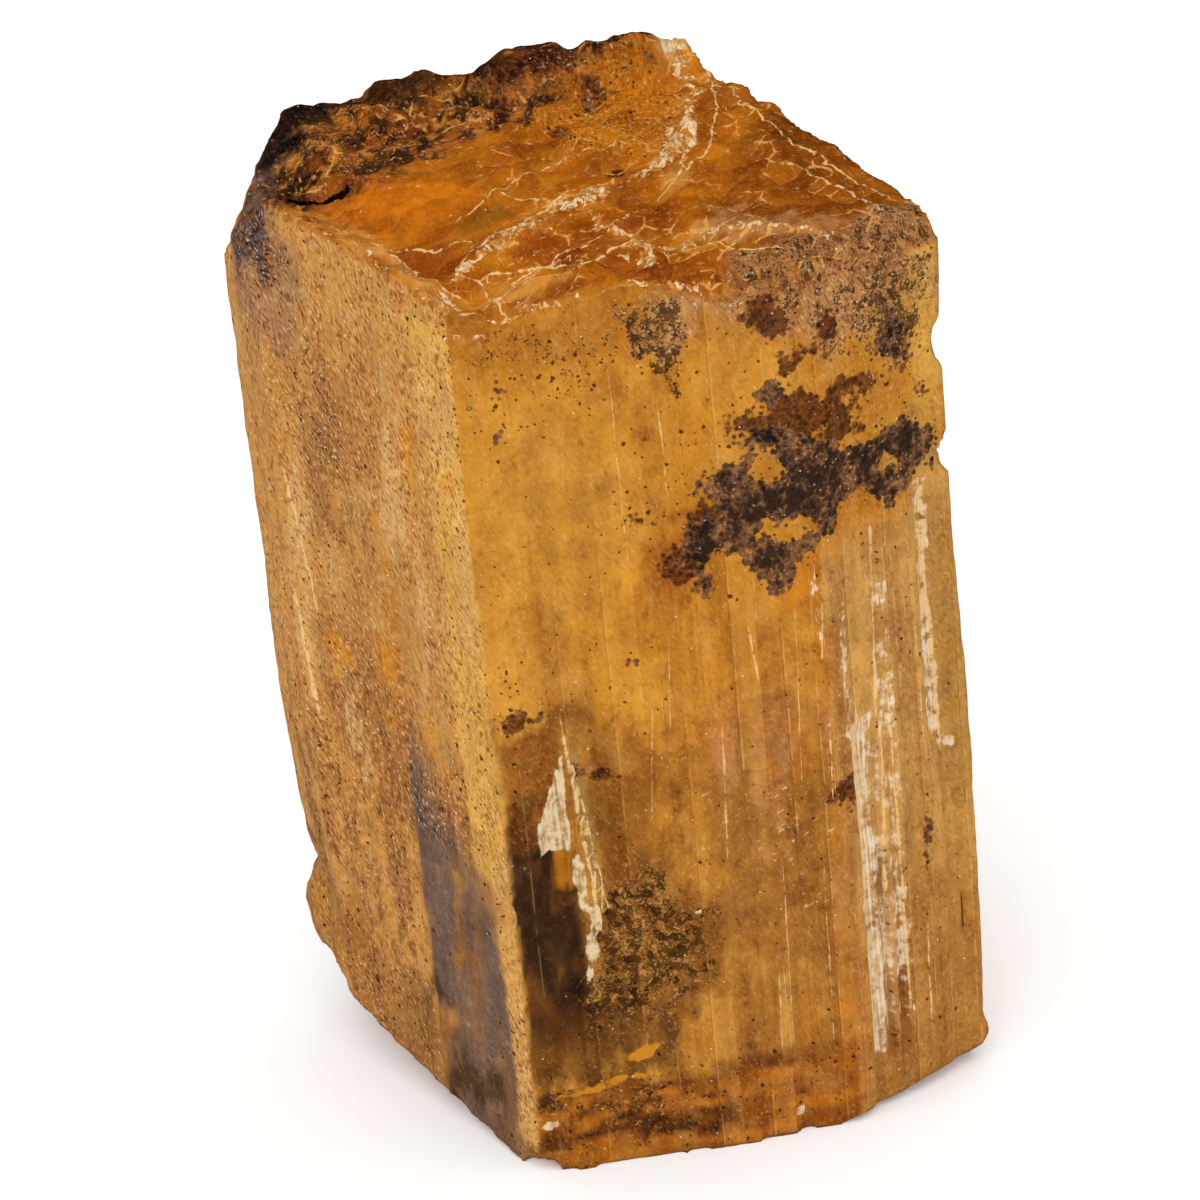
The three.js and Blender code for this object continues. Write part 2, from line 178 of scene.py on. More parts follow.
class Surface:
    """Where each point of the mesh lies on the crystal."""

    def __init__(self, mesh):
        self.p = read(mesh.vertices, "co")
        self.n = read(mesh.vertex_normals, "vector")
        self.x, self.y, self.z = self.p.T
        best = np.full(len(self.p), 1e9)
        self.face = np.zeros(len(self.p), int)
        self.s = np.zeros(len(self.p))
        for i, (corner, run, degrees) in enumerate(zip(CORNERS, RUNS, HEADINGS)):
            rel = self.p[:, :2] - corner
            s = rel @ heading(degrees)
            off = np.hypot(s - np.clip(s, 0, run), rel @ heading(degrees + 90))
            nearer = off < best
            best = np.where(nearer, off, best)
            self.face = np.where(nearer, i, self.face)
            self.s = np.where(nearer, np.clip(s, 0, run), self.s)
        self.top = smooth(self.n[:, 2], 0.35, 0.7) * smooth(self.z, 50, 54)
        self.base = smooth(-self.n[:, 2], 0.35, 0.7) * (1 - smooth(self.z, 9, 12))
        self.wall = np.clip(1 - self.top - self.base, 0, 1)
        before = np.array([sum(RUNS[:i]) for i in range(8)])
        self.round = (self.s + before[self.face] - ROUND_START) % ROUND
        # Pushes on these places, so that nothing painted by them has a smooth rim.
        long = (1, 1, 2)
        self.torn_a = 0.9 * fractal(self.p / long, 2.0, 81, 5, 0.65)
        self.torn_b = 1.5 * fractal(self.p / long, 2.0, 87, 5, 0.65)
        self.ragged = fractal(self.p, (0.8, 0.8, 1.8), 95, 3, 0.7)
        swing = [0.28 * fractal(self.p, 1.4, seed, 3, 0.6) for seed in (31, 37)]
        self.bent = self.p[:, :2] + np.stack(swing, 1)

    def on(self, *faces):
        return np.isin(self.face, faces) * self.wall

    def inside(self, u, v, half_u, half_v, tilt):
        """Millimetres inside the rim of an ellipse, by the offsets u and v from its middle."""
        c, w = math.cos(math.radians(tilt)), math.sin(math.radians(tilt))
        r = np.hypot((u * c + v * w) / half_u, (v * c - u * w) / half_v)
        return (1 - r) * min(half_u, half_v)

    def spots(self, ellipses, torn=0.0):
        """Millimetres inside the nearest of some ellipses, listed by face or under "top".

        A row is (middle along, middle up, half-width, half-height, tilt), by x and y on the top."""
        best = np.full(len(self.p), OUTSIDE)
        push_a, push_b = torn * self.torn_a, torn * self.torn_b
        for place, rows in ellipses.items():
            if place == "top":
                u, v, there = self.x + push_a, self.y + push_a, self.top > 0.25
            else:
                u, v, there = self.s + push_a, self.z + push_b, (self.face == place) & (self.top < 0.75)
            for a, b, half_u, half_v, tilt in rows:
                field = self.inside(u - a, v - b, half_u, half_v, tilt)
                best = np.maximum(best, np.where(there, field, OUTSIDE))
        return best

    def soft(self, ellipses, width=0.4, torn=1.0, ragged=0.35):
        return smooth(self.spots(ellipses, torn) + ragged * self.ragged, -width, width)

    def path(self, points, bent=True):
        """Distance in plan to a line through points, negative on its right."""
        best = np.full(len(self.p), 1e9)
        q = self.bent if bent else self.p[:, :2]
        for a, b in zip(points, points[1:]):
            a, run = np.array(a), np.subtract(b, a)
            t = np.clip(((q - a) @ run) / (run @ run), 0, 1)
            off = q - a - t[:, None] * run
            side = np.sign(run[0] * off[:, 1] - run[1] * off[:, 0])
            best = nearer_of(best, side * np.linalg.norm(off, axis=1))
        return best

    def box(self, face, s0, s1, z0, z1, blur=0.15, torn=0.0):
        s, z = self.s + torn * self.torn_a, self.z + torn * self.torn_b
        across = smooth(s, s0 - blur, s0 + blur) * (1 - smooth(s, s1 - blur, s1 + blur))
        up = smooth(z, z0 - blur, z0 + blur) * (1 - smooth(z, z1 - blur, z1 + blur))
        return across * up * self.on(face)


# Lines across the broken top, in plan: the crumbly veins, the thin lips of fractures, the rims,
# the edge of the granular shelf in front and a crack.
VEIN = [(-7.6, -8.8), (-4.4, -6.3), (-0.6, -3.4), (2.9, -1.4), (6.2, 1.2), (8.2, 4.7), (9.2, 9), (8.4, 14.5)]
SIDE_VEIN = [(1.8, -9.6), (3.9, -9.5), (5.9, -8.9), (7.5, -8), (8.9, -8.6), (10.4, -8.3), (12.1, -9.2),
             (14, -9.9)]
CROSS_VEIN = [(0.7, -3.5), (1.1, -5.6), (2.9, -7.7), (3.3, -10.4)]
LIPS = [[(-15.8, -0.1), (-14.5, -1.9), (-11.8, -6.1), (-9.6, -8.4), (-7.9, -10.6)],
        [(-12.6, -3.2), (-10.4, -4.6), (-8.8, -5.6), (-6.5, -5.8)],
        [(-5.1, -1.7), (-2.2, 1.4), (-0.3, 3.1), (3.7, 3.6)],
        [(-7.8, -12.7), (-5.1, -11.3), (-0.4, -10.6), (1.2, -9.1), (3, -8.3)],
        [(-7.6, -8.6), (-6.4, -10), (-5.3, -13.1)],
        [(-6.5, -2.7), (-4.2, -0.7), (-2.6, -1.7), (-0.5, -2.9)],
        [(-7.4, -8), (-4.3, -5.1), (-1.4, -2.9), (0.4, -0.6)], [(-4.8, -10.8), (0.9, -7.1), (3.4, -4.2)],
        [(-6.4, -9.4), (-0.6, -9.7)], [(5.2, -2.8), (6.8, -1), (7.6, 1.6)],
        [(5.9, -9.1), (8.2, -10.4), (11, -11.1)], [(12.9, -1.1), (15.7, -4), (17.4, -7.2)],
        [(11.2, 8.2), (14.2, 0.8), (18.2, -5)], [(10.2, 13.1), (10.3, 6.5), (9, 1.7), (7.4, -0.3)]]
RIM = [(-10.4, -12), (-8.8, -13), (-5.5, -13.3), (0.2, -13.2), (6, -13.3)]
LEFT_RIM = [(-16.6, -0.6), (-12.6, -6.8), (-9, -12.9)]
SHELF = [(7.2, -12.6), (8, -10.9), (11.1, -10), (14.6, -9.7), (17.7, -7.1), (19.4, -6)]
CRACK = [(-16.4, 2.4), (-14.6, 2.7), (-12.8, 3.1)]
# Smooth dark lumps along the back left of the top.
LUMPS = [(-0.2, 12.9, 3.9, 2, 4), (-7.9, 13, 2.8, 1.7, 10), (-15, 10.8, 3.4, 2.2, 24),
         (-16.4, 8, 1.8, 1.6, 24)]
# The golden, speckled part of the top.
GOLDEN = {"top": [(3.4, 8.4, 6.4, 4.6, -75)]}
# Painted highlights on growth-step edges: thin pale lines up the walls, by lower end and upper end (each
# along, up), half-width.
LIT_STEP_EDGES = {
    FRONT: [(20.3, 34.4, 20.6, 39.6, 0.08), (20.3, 24.6, 20.4, 29.8, 0.09), (16.3, 33.6, 16, 36.6, 0.08),
            (13.6, 21.5, 13.9, 30, 0.07), (15.95, 6.9, 16.1, 12, 0.06), (16.7, 7.1, 16.9, 19.7, 0.05),
            (9.2, 25, 9.8, 32.7, 0.05), (10.8, 31, 11.2, 37, 0.05), (5.4, 18, 4.3, 32, 0.12),
            (6, 18.6, 4.7, 29.4, 0.08), (9.2, 43, 9.1, 55, 0.05), (11.9, 45, 11.8, 52, 0.06),
            (18.5, 26, 18.9, 38, 0.05), (19.2, 6, 19.4, 19, 0.05)],
    BEVEL_R: [(3.3, 29, 4, 41, 0.12), (4.4, 7.4, 4.3, 27, 0.10), (5.9, 5, 6.1, 12, 0.08),
              (8, 24.8, 8, 34, 0.16), (7.7, 34, 7.9, 43, 0.20), (1.6, 5, 1.9, 29.2, 0.16),
              (2.9, 6, 3.6, 28, 0.08), (5.4, 22, 5.2, 40, 0.05), (6.6, 26, 6.6, 37, 0.05),
              (1, 30, 1.3, 38, 0.06)],
    LEFT: [(0.9, 27, 0.2, 35, 0.16), (1.9, 35, 0.6, 44, 0.12)],
    BACK: [(5, 8, 5.2, 40, 0.08), (13, 20, 12.8, 52, 0.07), (17.5, 4, 17.3, 30, 0.12),
           (9.1, 12, 9.3, 26, 0.07)],
    BEVEL_L: [(4, 10, 4.2, 44, 0.10)],
    END_R: [(3.5, 6, 3.7, 40, 0.08)]}

mesh = fine_copy(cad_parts["topaz_crystal"])
here = Surface(mesh)
p, n = here.p, here.n
x, y, z = p.T
on, box, soft, spots, path = here.on, here.box, here.soft, here.spots, here.path


def strips(width, length, seed):
    """A number for each of the upright strips, uneven in width and length, that the walls are cut in."""
    flat = np.zeros(len(p))
    across = here.round / width
    across = across + 0.5 * noise(np.column_stack([across / 2.5, flat, flat]), seed)
    column = np.floor(across).astype(np.int64)
    up = z / length + 9 * lattice(column, 0, 0, seed)
    return lattice(column, np.floor(up).astype(np.int64), 0, seed + 1)


drift = fractal(p, (7, 7, 16), 12, 4)
fine = fractal(p, (1.6, 1.6, 6), 15, 4, 0.6)
streaks = fractal(p, (0.7, 0.7, 14), 18, 3, 0.7)
middle = fractal(p, 1.5, 23, 4, 0.6)
plate = strips(1.5, 30, 71)
slab = strips(4, 17, 74)
over = np.column_stack([here.bent, z * 0.3])
dish, dish_tone = cells(over @ np.array([[0.8, -0.6, 0], [0.6, 0.8, 0], [0, 0, 1]]), (3.6, 2, 3), 77)
knob, knob_tone = cells(p, 1.15, 61)
grit, grit_tone = cells(p, 0.6, 65)

vein_off = np.minimum.reduce([np.abs(path(VEIN)), np.abs(path(SIDE_VEIN)) + 0.12,
                              np.abs(path(CROSS_VEIN)) + 0.2])
lip_off = functools.reduce(nearer_of, [path(lip) for lip in LIPS])
crusty = here.top * smooth(y - 0.55 * x + 0.9 * fine + 0.5 * middle, 8, 10.5)
crusty *= 1 - smooth(x, 7.5, 9)
lumps = soft({"top": LUMPS}, 0.7, 0.4)
glassy = here.top * (1 - crusty)
shelf = here.top * smooth(-path(SHELF) + 0.4 * middle, -0.3, 0.5) * smooth(x + 0.6 * fine, 6, 8.5)
smoke = box(FRONT, 0.15, 4.3, 6, 23.5, 0.35, 0.25) * smooth(z + 1.5 * fine + middle, 5.5, 12)
shoulder = soft({FRONT: [(17.6, 59.6, 5.4, 2.4, -6), (13.4, 57.8, 2.4, 1.6, 0)],
                 BEVEL_R: [(4.4, 57.6, 5.6, 3.3, -20)]}, 0.7)
scoop = soft({"top": [(-9, -1, 5.4, 3.6, -45), (-8.5, -6.5, 3.8, 2.4, -50), (2.2, -11, 2, 1.1, 85)]},
             0.7, 0.6)
bevel_band = box(BEVEL_R, 1.5, 2.7, 4.5, 29, 0.25, 0.2) + 0.55 * box(BEVEL_R, 2.7, 3.6, 6, 27, 0.2, 0.2)
sandy_side = on(LEFT, END_L, BACK_R)


# ---- relief ----

def relief():
    """How far each point moves out along its normal, in millimetres."""
    lines = fractal(p, (0.75, 0.75, 45), 3, 3, 0.6)
    breaks = smooth(fractal(p, (3, 3, 9), 21, 3), -0.3, 0.6)
    striated = here.wall * (1 - 0.75 * sandy_side) * smooth(z, 0.8, 5)
    out = -0.055 * striated * (lines + 1) * (0.35 + 0.65 * breaks)
    out += striated * (0.10 * (plate - 0.6) + 0.12 * (slab - 0.6) + 0.09 * on(BEVEL_R, END_R))
    out += here.wall * (0.03 * middle - 0.03) + 0.035 * sandy_side * here.ragged
    out -= 0.10 * bevel_band * smooth(streaks, -0.3, 0.8)
    # Broken top: shallow dishes with raised lips, then crumbs along the veins and knobs of crust.
    slope = 1 - 0.6 * smooth(x - 0.18 * y, 8.6, 11)
    out += glassy * slope * (1 - 0.6 * scoop) * (0.6 * (dish ** 2 - 0.35) + 0.3 * (dish_tone - 0.5))
    out += glassy * (0.10 * fine + 0.03 * here.ragged)
    out += glassy * 0.25 * np.exp(-(lip_off / 0.35) ** 2) * np.clip(0.7 + 0.4 * middle, 0, 1.2)
    out += glassy * 0.42 * np.exp(-(vein_off / 0.5) ** 2) * np.clip(0.6 + 0.5 * here.ragged, 0, 1.3)
    out += glassy * 0.22 * np.exp(-((path(RIM) - 0.2) / 0.4) ** 2) * np.clip(0.4 + 0.9 * middle, 0, 1.3)
    out += crusty * (1 - 0.75 * lumps) * (0.42 * (0.55 - knob) + 0.22 * (0.5 - grit) + 0.05 * here.ragged)
    out += shelf * (0.18 * (0.5 - grit) + 0.05 * here.ragged)
    out += here.base * 0.05 * fractal(p, 1.6, 51, 4, 0.6)
    out += on(FRONT, BEVEL_R) * smooth(z, 56, 59) * (0.14 * here.ragged + 0.12 * (0.5 - grit))
    corner = on(LEFT, END_L, BEVEL_L) * smooth(z - 0.5 * here.s * (here.face == LEFT), 53, 58)
    return out + corner * 0.35 * (0.5 - knob)


def displaced():
    moved = p + relief()[:, None] * n
    low, high = (np.array(corner) / MM for corner in cad_box)
    return np.clip(moved, low, high)


# ---- colours, laid one over the other ----

class Paint:
    def __init__(self, base):
        self.colour = np.tile(np.array(linear(*base)), (len(p), 1))

    def lay(self, colour, mask, strength=1):
        m = np.clip(mask * strength, 0, 1)[:, None]
        self.colour = self.colour * (1 - m) + np.array(linear(*colour)) * m

    def shade(self, factor):
        """Lighter above 1, darker below; the colour deepens as it darkens."""
        f = np.asarray(factor)[:, None]
        self.colour = self.colour * f ** np.array([1, 1.25, 1.7])


paint = Paint((200, 132, 42))
lay = paint.lay


def paint_front():
    face = on(FRONT)
    low = face * smooth(here.s + 1.2 * drift, 10, 14) * (1 - smooth(z + 1.5 * drift, 29, 35))
    lay((208, 146, 54), soft({FRONT: [(4.5, 46, 4, 7, 0)]}, 2), 0.7)
    lay((170, 108, 44), low, 0.85)
    lay((194, 134, 84), low * smooth(z, 13, 18) * smooth(fine, -0.2, 0.7), 0.65)
    lay((194, 112, 30), low * smooth(0.9 * drift + 0.5 * middle, 0, 0.9), 0.6)
    lay((152, 90, 46), low * smooth(-0.6 * drift - 0.8 * middle, 0.2, 1.2), 0.5)
    lay((172, 102, 30), face * smooth(z + 0.8 * fine, 55, 58), 0.75)
    lay((198, 132, 48), face * smooth(z, 56, 58) * smooth(-middle - 0.5 * fine, 0.1, 1), 0.6)
    tan = {FRONT: [(8.9, 53.5, 1.1, 0.6, 87), (10.3, 52.7, 1.3, 0.7, 87), (8.2, 40.6, 0.7, 0.6, -80)]}
    lay((172, 98, 26), soft(tan, 0.4), 0.6)
    halo = {FRONT: [(11.3, 41.7, 2.5, 2.1, -40), (10.9, 38.9, 1.9, 0.3, -10), (12.6, 45.2, 1.6, 1, 0)]}
    lay((166, 92, 22), soft(halo, 0.4), 0.85)
    lay((188, 118, 28), soft({FRONT: [(16.5, 43, 4.6, 4.6, 10)]}, 0.6), 0.6)
    lay((198, 112, 18), soft({FRONT: [(19.3, 39.6, 2.2, 1.6, -89)], BEVEL_R: [(0.9, 42, 1.6, 1.2, 75)]},
                             0.8), 0.6)
    lay((190, 118, 24), box(FRONT, 3.2, 3.9, 32, 41, 0.25, 0.2), 0.6)
    lay((210, 144, 46), box(FRONT, 6.4, 10.8, 31.1, 36, 0.12, 0.06), 0.7)
    # Brown and smoky depths at the lower left, parted by the flake, and the banded foot.
    lay((136, 76, 27), soft({FRONT: [(7.4, 26.2, 5.2, 2.9, 88), (5, 31.6, 1.6, 1.1, 0)]}, 0.8), 0.8)
    lay((114, 66, 26), soft({FRONT: [(6.4, 23.6, 3, 1.5, 88)]}, 0.8), 0.6)
    reddish = box(FRONT, 0.3, 4, 22.8, 32, 0.5, 0.45)
    lay((134, 72, 24), reddish, 0.85)
    lay((82, 44, 20), reddish * smooth(middle + 0.6 * fine - 0.25 * (z - 27), -0.4, 0.9), 0.85)
    lay((176, 108, 40), reddish * smooth(-middle - 0.6 * fine, 0.4, 1.3), 0.6)
    lay((140, 84, 36), soft({FRONT: [(8.2, 15.8, 6.6, 4.4, -88), (6, 12.6, 3.4, 2.8, 0)]}, 0.7), 0.8)
    lay((42, 30, 34), smoke, 0.95)
    lay((106, 60, 30), smoke * smooth(0.9 * middle + 0.9 * fine - 0.08 * (z - 14), 0, 1.6), 0.7)
    lay((94, 52, 20), soft({FRONT: [(4, 8.4, 4.8, 3, 0)]}, 0.9) * (1 - 0.7 * smoke), 0.85)
    lay((194, 118, 28), box(FRONT, 3.1, 4.2, 20.6, 23.2, 0.2, 0.15), 0.8)
    # The foot is layered: level bands of brown, orange and near-black.
    sunk = p - np.column_stack([0 * z, 0 * z, 0.07 * here.s])
    layers = fractal(sunk, (5, 5, 0.9), 44, 4, 0.6)
    foot = on(FRONT, BACK, BEVEL_L) * (1 - smooth(z - 0.05 * here.s + 0.5 * fine, 4.2, 6))
    lay((150, 78, 18), foot, 0.92)
    lay((206, 122, 30), foot * smooth(-layers, 0.1, 0.9), 0.7)
    lay((84, 45, 18), foot * smooth(layers - 0.05 * np.maximum(here.s - 8, 0), -0.1, 0.6), 0.85)
    dark = {FRONT: [(4.4, 3.6, 4.6, 1.5, -3), (9.8, 2.8, 3.2, 0.8, 0)]}
    lay((58, 32, 15), soft(dark, 0.5, 0.6) * smooth(layers, -1, 0.2), 0.85)
    band = here.s - 4.25 - 0.08 * (31 - z)
    band = face * smooth(band, -0.1, 0.1) * (1 - smooth(band, 0.65, 0.85)) * box(FRONT, 3, 7, 19, 30.5, 0.8)
    lay((162, 130, 84), band, 0.65)
    lay((172, 102, 26), box(FRONT, 0.2, 10, 0, 1.3, 0.3, 0.2), 0.8)
    lay((220, 166, 76), box(FRONT, 16, 16.75, 7, 11.9, 0.08), 0.6)
    lay((214, 160, 84), box(FRONT, -1, 0.3, 1.5, 31, 0.15, 0.1) * smooth(0.6 * fine - middle, -1.4, 0.4),
        0.8)


def paint_bevel():
    face = on(BEVEL_R)
    lay((200, 148, 82), face * (1 - smooth(z + drift, 40, 44)), 0.8)
    lay((194, 144, 76), box(BEVEL_R, 7.2, 10, 11, 45, 0.4, 0.3), 0.8)
    lay((186, 134, 54), box(BEVEL_R, 8.6, 10, 18, 40, 0.3, 0.3) * smooth(middle, -0.6, 0.6), 0.7)
    lay((172, 110, 48), face * (1 - smooth(z + 2 * drift, 12, 20)), 0.8)
    lay((172, 104, 46), box(BEVEL_R, 0, 0.9, 2, 36, 0.4, 0.2), 0.7)
    lay((212, 174, 126), bevel_band * smooth(0.7 * middle - fine, -1.6, 0.4), 0.7)
    lay((120, 84, 54), box(BEVEL_R, 1.6, 3.6, 12, 20, 0.5, 0.5) * smooth(fine, 0, 0.8), 0.7)
    lay((186, 126, 54), on(END_R), 0.6)
    lay((194, 138, 92), shoulder, 0.85)
    lay((148, 92, 58), shoulder * smooth(middle, 0, 1), 0.7)
    lay((206, 156, 70), box(BEVEL_R, 7.6, 10, 46, 60, 0.4, 0.4), 0.6)


def paint_left():
    """Sandy tan with amber and pale streaks, and a smooth purple-grey part below."""
    left, end = on(LEFT), on(END_L)
    side = np.maximum(left, end)
    lay((210, 148, 72), side, 0.97)
    lay((182, 112, 50), side * smooth(middle + 0.4 * fine, 0.15, 1), 0.6)
    lay((232, 182, 112), side * smooth(-middle - 0.5 * fine, 0.3, 1.2), 0.6)
    rosy = {LEFT: [(6.1, 48.2, 6.5, 3.7, 54), (5.1, 40.3, 4.9, 2.2, 31), (5.5, 33, 6, 2, 80)]}
    lay((182, 120, 64), soft(rosy, 1) * smooth(fine + middle, -1, 0.6), 0.7)
    lay((156, 104, 66), soft({LEFT: [(4.2, 46, 6, 1.8, 80), (3.4, 30, 5, 1.2, 86)]}, 0.9), 0.4)
    lay((156, 96, 48), side * (1 - smooth(z + 2 * drift, 22, 38)) * smooth(fine - middle, -0.9, 0.7), 0.75)
    lay((228, 172, 78), box(LEFT, 15.2, 18.6, 21, 59, 0.3, 0.25), 0.8)
    lay((226, 174, 100), soft({LEFT: [(16.8, 53.5, 3.3, 2, 54), (17.3, 42.9, 4.4, 0.8, 84)]}, 0.5), 0.8)
    amber = {
        LEFT: [(13.2, 49.8, 1.6, 0.5, 78), (1.6, 57.4, 0.8, 0.5, 36), (8, 32.6, 3.2, 0.7, 82),
               (3.6, 31.9, 1.8, 0.6, 80), (17, 48.7, 1.3, 0.35, 22), (9.6, 40, 5, 0.5, 87),
               (12.2, 30, 4, 0.4, 86)],
        END_L: [(6.3, 44.2, 2.3, 0.5, 85)]}
    lay((218, 138, 28), soft(amber, 0.35, 0.5), 0.85)
    pale = {LEFT: [(1.2, 39.7, 4.3, 0.6, 83), (0.9, 31.6, 4.4, 0.45, 83), (11.2, 46, 6, 0.9, 82),
                   (12.6, 37, 5, 0.7, 85), (4.4, 27.2, 3, 0.6, 88)]}
    lay((226, 180, 114), soft(pale, 0.4, 0.6), 0.7)
    purple = left * smooth(here.s + 0.25 * fine, 9.3, 9.8)
    purple *= 1 - smooth(here.s + 0.15 * here.ragged, 16.9, 17.3)
    purple *= 1 - smooth(z + 1.2 * fine + 1.5 * (here.s - 9.5), 24, 33)
    lay((130, 96, 74), purple, 0.92)
    lay((104, 86, 82), purple * smooth(fine + 0.6 * streaks + 0.05 * (z - 12), -1, 0.6), 0.7)
    seams = {LEFT: [(12.6, 15, 2.4, 0.25, 84), (14, 12.5, 1.6, 0.2, 84), (11, 8, 1.4, 0.5, 60)]}
    lay((186, 114, 30), soft(seams, 0.15, 0.3), 0.55)
    lay((84, 56, 38), soft({LEFT: [(13.2, 4.3, 3.4, 1.4, 12), (8.5, 8, 2.2, 0.9, 30)]}, 0.5), 0.8)
    lay((156, 100, 50), left * (1 - smooth(z + fine - 0.4 * (9 - here.s), 6, 10)) * (1 - purple), 0.7)
    lay((216, 160, 86), box(LEFT, 17.1, 19.5, 2, 23, 0.2, 0.2), 0.85)
    lay((172, 112, 48), soft({LEFT: [(0.6, 9.5, 3.6, 2.4, 80)], END_L: [(5, 9.5, 3.6, 3.4, 80)]}, 0.8), 0.8)
    lay((160, 114, 86), soft({LEFT: [(1, 58, 3.6, 5.6, 14)], END_L: [(5.5, 57, 4, 5, 0)]}, 0.9), 0.7)
    lay((100, 86, 90), soft({LEFT: [(0, 61, 2.4, 3.6, 14)], END_L: [(5.5, 60, 4, 3.4, 0)]}, 0.8), 0.9)


def paint_back():
    back, side = on(BACK, BEVEL_L), on(BACK_R)
    lay((204, 142, 70), side, 0.85)
    lay((168, 104, 50), side * smooth(drift + 0.6 * middle, 0, 0.9), 0.7)
    lay((228, 178, 106), side * smooth(-middle - 0.5 * fine - 0.5 * drift, 0.3, 1.2), 0.6)
    lay((210, 132, 30), soft({BACK_R: [(5, 44, 6, 0.7, 84), (13, 30, 5, 0.6, 86)]}, 0.4, 0.6), 0.75)
    lay((166, 104, 42), back * smooth(drift + 0.4 * fine, 0, 0.9), 0.7)
    lay((212, 152, 60), back * smooth(-drift - 0.5 * middle, 0.1, 1), 0.6)
    lay((196, 140, 86), soft({BACK: [(11, 30, 12, 3.6, 84)]}, 1.5) * smooth(fine, -0.4, 0.6), 0.6)
    dark = {BACK: [(6, 14, 6, 3.5, 70)], BACK_R: [(13, 10, 5, 3, 80)], BEVEL_L: [(5, 40, 6, 2, 85)]}
    lay((140, 82, 36), soft(dark, 2), 0.75)
    lay((84, 50, 28), soft(dark, 1.2) * smooth(middle + 0.8 * fine, -0.6, 0.9), 0.85)
    rind = z + 1.6 * fine + 1.4 * middle
    lay((152, 92, 52), back * smooth(rind, 53, 57), 0.7)
    lay((66, 44, 36), back * smooth(rind + 0.8 * here.ragged, 57.5, 60), 0.85)


def paint_top():
    """Deep orange glass, golden and speckled behind, brown to the right, crust along the back left."""
    top = here.top
    lay((184, 102, 12), top)
    lay((150, 78, 8), top * smooth(dish_tone, 0.35, 0.75), 0.7)
    lay((204, 128, 34), top * smooth(-dish_tone, -0.3, -0.05), 0.6)
    lay((184, 108, 22), soft(GOLDEN, 1.2), 0.9)
    lay((152, 82, 14), soft(GOLDEN, 1.2) * smooth(middle, 0.2, 1.1), 0.6)
    right = top * smooth(x - 0.18 * y + 0.5 * fine, 8.6, 10.6)
    lay((146, 78, 16), right, 0.85)
    lay((182, 110, 38), right * smooth(dish_tone, 0.6, 0.9), 0.55)
    lay((132, 68, 8), soft({"top": [(3.2, -4.4, 1.9, 1.4, 0), (13.6, 3, 3.2, 1.6, 76)]}, 0.3), 0.7)
    lay((212, 116, 20), soft({"top": [(-10, 0.5, 5, 2.8, -30)]}, 0.8), 0.9)
    lay((206, 138, 60), glassy * np.exp(-(vein_off / 1) ** 2) * smooth(middle + fine, -0.8, 0.8), 0.6)
    amber = {"top": [(2.2, -11, 2, 1.1, 85), (-9, -7.2, 3.2, 1.7, -52), (-0.6, -7, 3.6, 1.9, 30),
                     (4.6, -5.4, 1.8, 1.1, 60)]}
    lay((150, 70, 0), soft(amber, 0.4, 0.6), 0.85)
    pale = {"top": [(-4.4, -11.2, 3, 0.7, -6), (-13, -2.6, 3, 0.7, -55), (6.4, -1.4, 1.6, 0.6, 60)]}
    lay((212, 148, 68), soft(pale, 0.4, 0.6), 0.7)
    lay((132, 84, 30), soft({"top": [(-4.4, -2.6, 2.8, 1.4, 38)]}, 0.6) * smooth(middle, -0.9, 0.4), 0.8)
    rosy = {"top": [(-9.6, 5.6, 4.6, 1.8, 30), (-2.6, 10, 3.6, 1.3, 25), (-11.5, 3.4, 3, 0.9, 10)]}
    lay((198, 116, 60), soft(rosy, 0.7) * smooth(middle, -0.8, 0.5), 0.75)
    lay((194, 136, 86), soft({"top": [(8.7, -7.2, 2.1, 1.5, -78), (12.5, -8.4, 2.6, 1, -15)]}, 0.5), 0.75)
    lay((184, 130, 84), shelf, 0.9)
    rim = np.exp(-((path(LEFT_RIM) - 0.6) / 1.1) ** 2)
    lay((218, 156, 78), glassy * rim * smooth(middle + 0.6 * fine, -1.2, 0.3), 0.85)
    lay((188, 122, 48), top * (1 - smooth(y + 0.4 * middle, -13.4, -12.5)) * (x < 8), 0.75)
    gaps = np.exp(-((path(RIM) - 0.9) / 0.3) ** 2) * smooth(middle, -0.3, 0.5)
    lay((116, 52, 4), glassy * gaps, 0.8)
    lay((154, 80, 20), crusty, 0.95)
    lay((222, 142, 62), crusty * smooth(knob_tone, 0.6, 0.8), 0.75)
    lay((40, 26, 26), crusty * smooth(grit_tone + 0.5 * fine + 0.2 * middle, 0.45, 0.65), 0.92)
    lay((108, 86, 82), soft({"top": [(-17.8, 4.5, 1.6, 5, 0)]}, 0.6) * smooth(middle, -0.9, 0.3), 0.85)
    lay((78, 36, 12), soft({"top": LUMPS[:1]}, 0.5), 0.92)
    lay((62, 38, 22), soft({"top": LUMPS[1:2]}, 0.5), 0.92)
    lay((36, 29, 33), soft({"top": LUMPS[2:]}, 0.5), 0.94)
    lay((44, 29, 22), soft({"top": [(6, 13.2, 1.3, 0.9, 0), (-4.2, 11.6, 1.6, 0.7, 25)]}, 0.3), 0.85)
    lay((206, 160, 98), soft({"top": [(8.2, 13.1, 1.3, 0.9, 0)]}, 0.3), 0.8)


